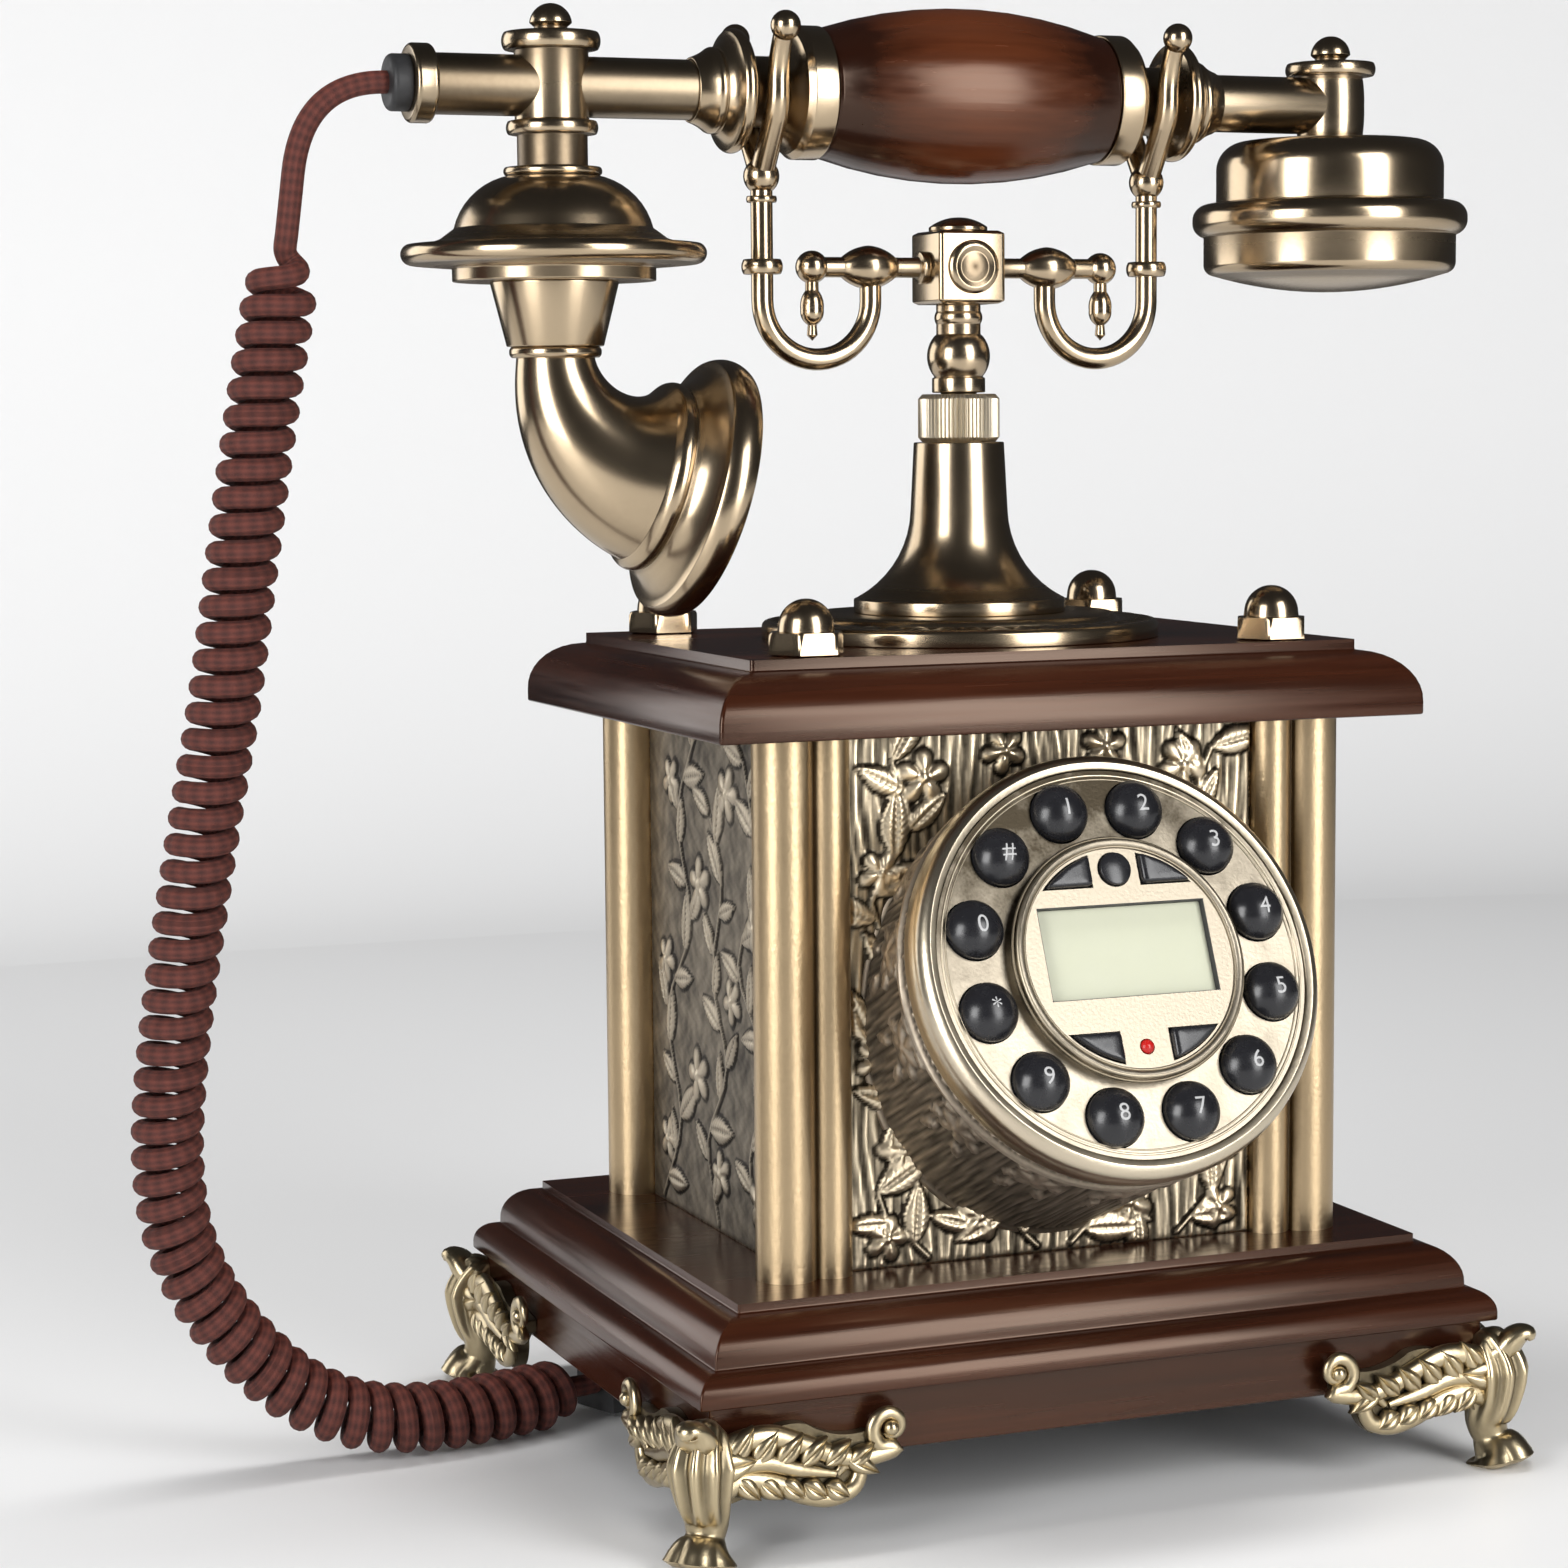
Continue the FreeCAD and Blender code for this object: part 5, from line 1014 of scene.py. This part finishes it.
# Feet: a fluted leg, and wings of rolled strands with leaves on a thin backing
def footLeaf(shell, matrix, spot, length, width, angle, thick):
    # pointed leaf: half width follows a sine along it, thickness domes across
    t = np.linspace(0.0, 1.0, 16)[:, None]
    across = np.linspace(-1, 1, 13)[None, :]
    a = t * length + 0 * across
    b = (width * np.sin(pi * t ** 0.75) + 0.02) * across
    lift = thick * halfRound(across) * np.sin(pi * np.clip(t, 0.03, 0.97)) ** 0.5
    lift = lift * (1 - 0.35 * np.exp(-(across / 0.18) ** 2))
    x = spot[0] + a * cos(angle) - b * sin(angle)
    z = spot[1] + a * sin(angle) + b * cos(angle)
    front = np.stack([x, spot[2] - lift, z], -1)
    rear = np.stack([x, np.full(x.shape, spot[2] + 0.6), z], -1)[:, ::-1]
    patinaAndShade = unit(0.35 + lift / thick * 0.8)
    patinaAndShade = np.concatenate([patinaAndShade, np.full(x.shape, 0.4)], 1)
    shell.grid(np.concatenate([front, rear], 1), False, True, matrix, patinaAndShade, capRows=True)


def footWing(shell, turn, reach=39.0):
    # local frame: x runs from the corner along the plinth, -y faces out, z up; y 0 is the wing's front
    def strand(points, radii, out=0.4, count=70):
        path = smoothPath([(x, out, z) for x, z in points], count)
        radius = np.interp(np.linspace(0, 1, count), np.linspace(0, 1, len(radii)), radii)
        tube(path, radius, 14, shell, 0.8, (0, 1, 0), turn, 0.9)

    spin = np.linspace(-0.35, 2.3, 11) * pi
    shrink = np.linspace(5.0, 1.2, 11)
    spiral = [(reach - 0.5 - r * sin(a), 25.2 - r * cos(a)) for r, a in zip(shrink, spin)]
    strand([(-1, 23), (5, 25.6), (12, 26.2), (19, 23.8), (26, 20.8), (32, 19.4)] + spiral[1:],
           [2.6, 2.6, 2.5, 2.3, 2.1, 2.0, 1.9, 1.8, 1.7, 1.6, 1.5, 1.4, 1.2, 1.0, 0.9, 0.8])
    ballShape((reach - 0.5, -0.2, 25.2), 1.7, shell, 20, turn)
    strand([(0, 15.5), (6, 17.6), (13, 16.4), (19, 13.4), (25, 12.0), (30, 13.4), (31.6, 17), (28.8, 18.6),
            (26.6, 16.8)], [2.5, 2.3, 2.2, 2.1, 2.0, 1.9, 1.7, 1.3, 0.9])
    strand([(2, 20.2), (10, 21.2), (18, 18.8), (26, 17.0)], [1.8, 2.0, 1.7, 0.8], -0.2)
    for k in range(6):
        spot = (2.5 + 5.3 * k, 21.5 - 0.6 * k, -0.4)
        footLeaf(shell, turn, spot, 9.5 - 0.5 * k, 2.7 - 0.12 * k, 0.95 - 0.06 * k, 2.0)
    for k in range(5):
        footLeaf(shell, turn, (4 + 4.9 * k, 18.6 - 0.9 * k, -0.3), 7.6 - 0.3 * k, 2.4, -0.75 + 0.06 * k, 1.9)
    footLeaf(shell, turn, (28, 20.4, -0.2), 9, 2.2, -0.5, 1.8)
    footLeaf(shell, turn, (-3, 20.5, -0.8), 12, 3.6, 0.15, 2.2)
    back = [(-2, 11.6), (-2, 28.1), (9.75, 25.6, 0.2), (20.3, 27.7, -0.25), (33.5, 24.8, 0.2), (39, 24.0),
            (39, 21.0), (33.5, 17.8, 0.2), (29.6, 10.7, -0.3), (23.4, 13.2, -0.3), (11.7, 15.1, 0.25)]
    sheet = layers(outline(back, 0.4, closed=True), (1.0, 3.9))[..., [0, 2, 1]]
    shell.grid(sheet, False, True, turn, 0.2, capRows=True)


def footLeg(shell, turn):
    # bent leg: a fluted tube along a curve in the corner's diagonal plane, flattened where it meets the table
    spine = smoothPath([(-2.6, 0, 29.5), (-0.4, 0, 27.0), (1.6, 0, 22.0), (1.2, 0, 15.5), (-0.3, 0, 10.2),
                        (0.6, 0, 6.2), (2.4, 0, 3.4), (3.2, 0, 0.6)], 64)
    place = np.linspace(0, 1, 64)
    radius = np.interp(place, [0, 0.1, 0.3, 0.52, 0.7, 0.84, 0.94, 1],
                       [1.5, 4.3, 6.5, 5.1, 4.0, 5.6, 6.8, 5.0])
    angle = fullTurn(96)[None, :]
    sides, ups = frames(spine)
    upper, lower = unit(1 - place / 0.62)[:, None], unit((place - 0.72) / 0.15)[:, None]
    flute = 0.13 * np.cos(angle * 9) * np.sin(pi * upper) + 0.16 * np.abs(np.cos(angle * 2.5)) * lower
    out = sides[:, None] * np.cos(angle)[..., None] + ups[:, None] * np.sin(angle)[..., None]
    surface = spine[:, None] + (radius[:, None] * (1 + flute))[..., None] * out
    surface[..., 2] = np.maximum(surface[..., 2], 0)
    shell.grid(surface, False, True, turn, np.clip(0.75 + 3.2 * flute, 0.05, 1), capRows=True)
    tip = smoothPath([(-3, 0, 22), (2.5, 0, 25.8), (6.0, 0, 29.4), (8.6, 0, 30.2), (9.4, 0, 28.8)], 24)
    thick = np.interp(np.linspace(0, 1, 24), [0, 0.4, 0.8, 1], [3.6, 3.0, 1.6, 0.7])
    tube(tip, thick, 14, shell, 1.5, (0, 1, 0), turn)


def makeFeet():
    shell = Shell()
    half = sqrt(0.5)
    lower = ((0, 0, 1, 0), (0, 0, 0, 1))
    for sx, sy in corners:
        hx, hy = half * sx, half * sy
        footLeg(shell, Matrix(((hx, -hx, 0, 92.6 * sx), (hy, hy, 0, 78.1 * sy), *lower)))
        footWing(shell, Matrix(((-sx, 0, 0, 91.3 * sx), (0, -sy, 0, 80.8 * sy), *lower)))
        footWing(shell, Matrix(((0, -sx, 0, 95.3 * sx), (-sy, 0, 0, 76.8 * sy), *lower)))
    shell.finish("castFeet", "base_feet", "cast", sharp=50)


makeFeet()

# CAD nodes that stay get their own finish
staying = dict(face="dial_plate", screen="display", cover="bottom_cover", board="circuit_boards",
               plastic="line_jack ringer microphone receiver", steel="hook_switch hook_spring",
               rubber="cord_gland")
for look, nodes in staying.items():
    for node in nodes.split():
        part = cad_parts[node]
        part.data.materials.clear()
        part.data.materials.append(paint[look])


# Studio: a round pale floor, a wall that curves up all round it, soft lights and dim surroundings
def paperSheet(name, radius, z, wall, centre=-1.6, sides=96):
    points = polar(radius[:, None], fullTurn(sides)[None, :], z[:, None]) + (0, centre, 0)
    mesh = bpy.data.meshes.new(name)
    quads = gridQuads(len(radius), sides, False, True)
    mesh.from_pydata(points.reshape(-1, 3).tolist(), [], quads.tolist())
    mesh.shade_smooth()
    paper = Shade(name + "Paper").finish(Base_Color=(0.82, 0.82, 0.82), Roughness=0.4, Specular_IOR_Level=0.3)
    mesh.materials.append(paper)
    piece = addObject(name, mesh)
    piece.visible_glossy = piece.visible_diffuse = not wall


def makeStage(reach=2.4, curve=0.6, top=2.8):
    arc = np.linspace(0, pi / 2, 30)
    paperSheet("floor", np.linspace(0, reach, 12), np.zeros(12), False)
    paperSheet("backdrop", np.append(reach + curve * np.sin(arc), reach + curve),
               np.append(curve * (1 - np.cos(arc)), top), True)


def softLight(name, spot, aim, wide, tall, power, glossy=True, spread=pi):
    light = bpy.data.lights.new(name, "AREA")
    light.shape, light.size, light.size_y, light.energy = "RECTANGLE", wide, tall, power
    light.spread = spread
    holder = addObject(name, light)
    holder.location = spot
    holder.rotation_euler = (Vector(aim) - Vector(spot)).to_track_quat("-Z", "Y").to_euler()
    holder.visible_camera = False
    holder.visible_glossy = glossy


makeStage()
softLight("leftLight", (-1.15, -0.61, 0.45), (0, 0, 0.22), 0.55, 0.8, 13)
softLight("rightLight", (0.46, -1.22, 0.56), (0, 0, 0.22), 0.6, 1.1, 17)
softLight("rearLight", (-0.95, 1.1, 0.45), (0, 0, 0.15), 0.8, 0.9, 5.5)
softLight("topLight", (0.0, 0.0, 2.2), (0, 0, 0.1), 1.0, 0.8, 8, glossy=False)
softLight("backLight", (0, 0.2, 2.4), (0, 1.4, 0.6), 3.0, 0.6, 42, glossy=False)
softLight("frontWash", (0, -2.6, 2.4), (0, -4.6, 0.6), 3.0, 0.6, 24, False, 1.9)
softLight("leftWash", (-1.4, -1.4, 2.4), (-3.0, -1.4, 0.6), 3.0, 0.6, 24, False, 1.9)
softLight("rightWash", (1.4, -1.4, 2.4), (3.0, -1.4, 0.6), 3.0, 0.6, 24, False, 1.9)
world = bpy.data.worlds.new("studio")
world.use_nodes = True
background = world.node_tree.nodes["Background"].inputs
background[0].default_value = (0.30, 0.30, 0.32, 1)
background[1].default_value = 0.12
scene.world = world
scene.view_settings.view_transform = "Standard"
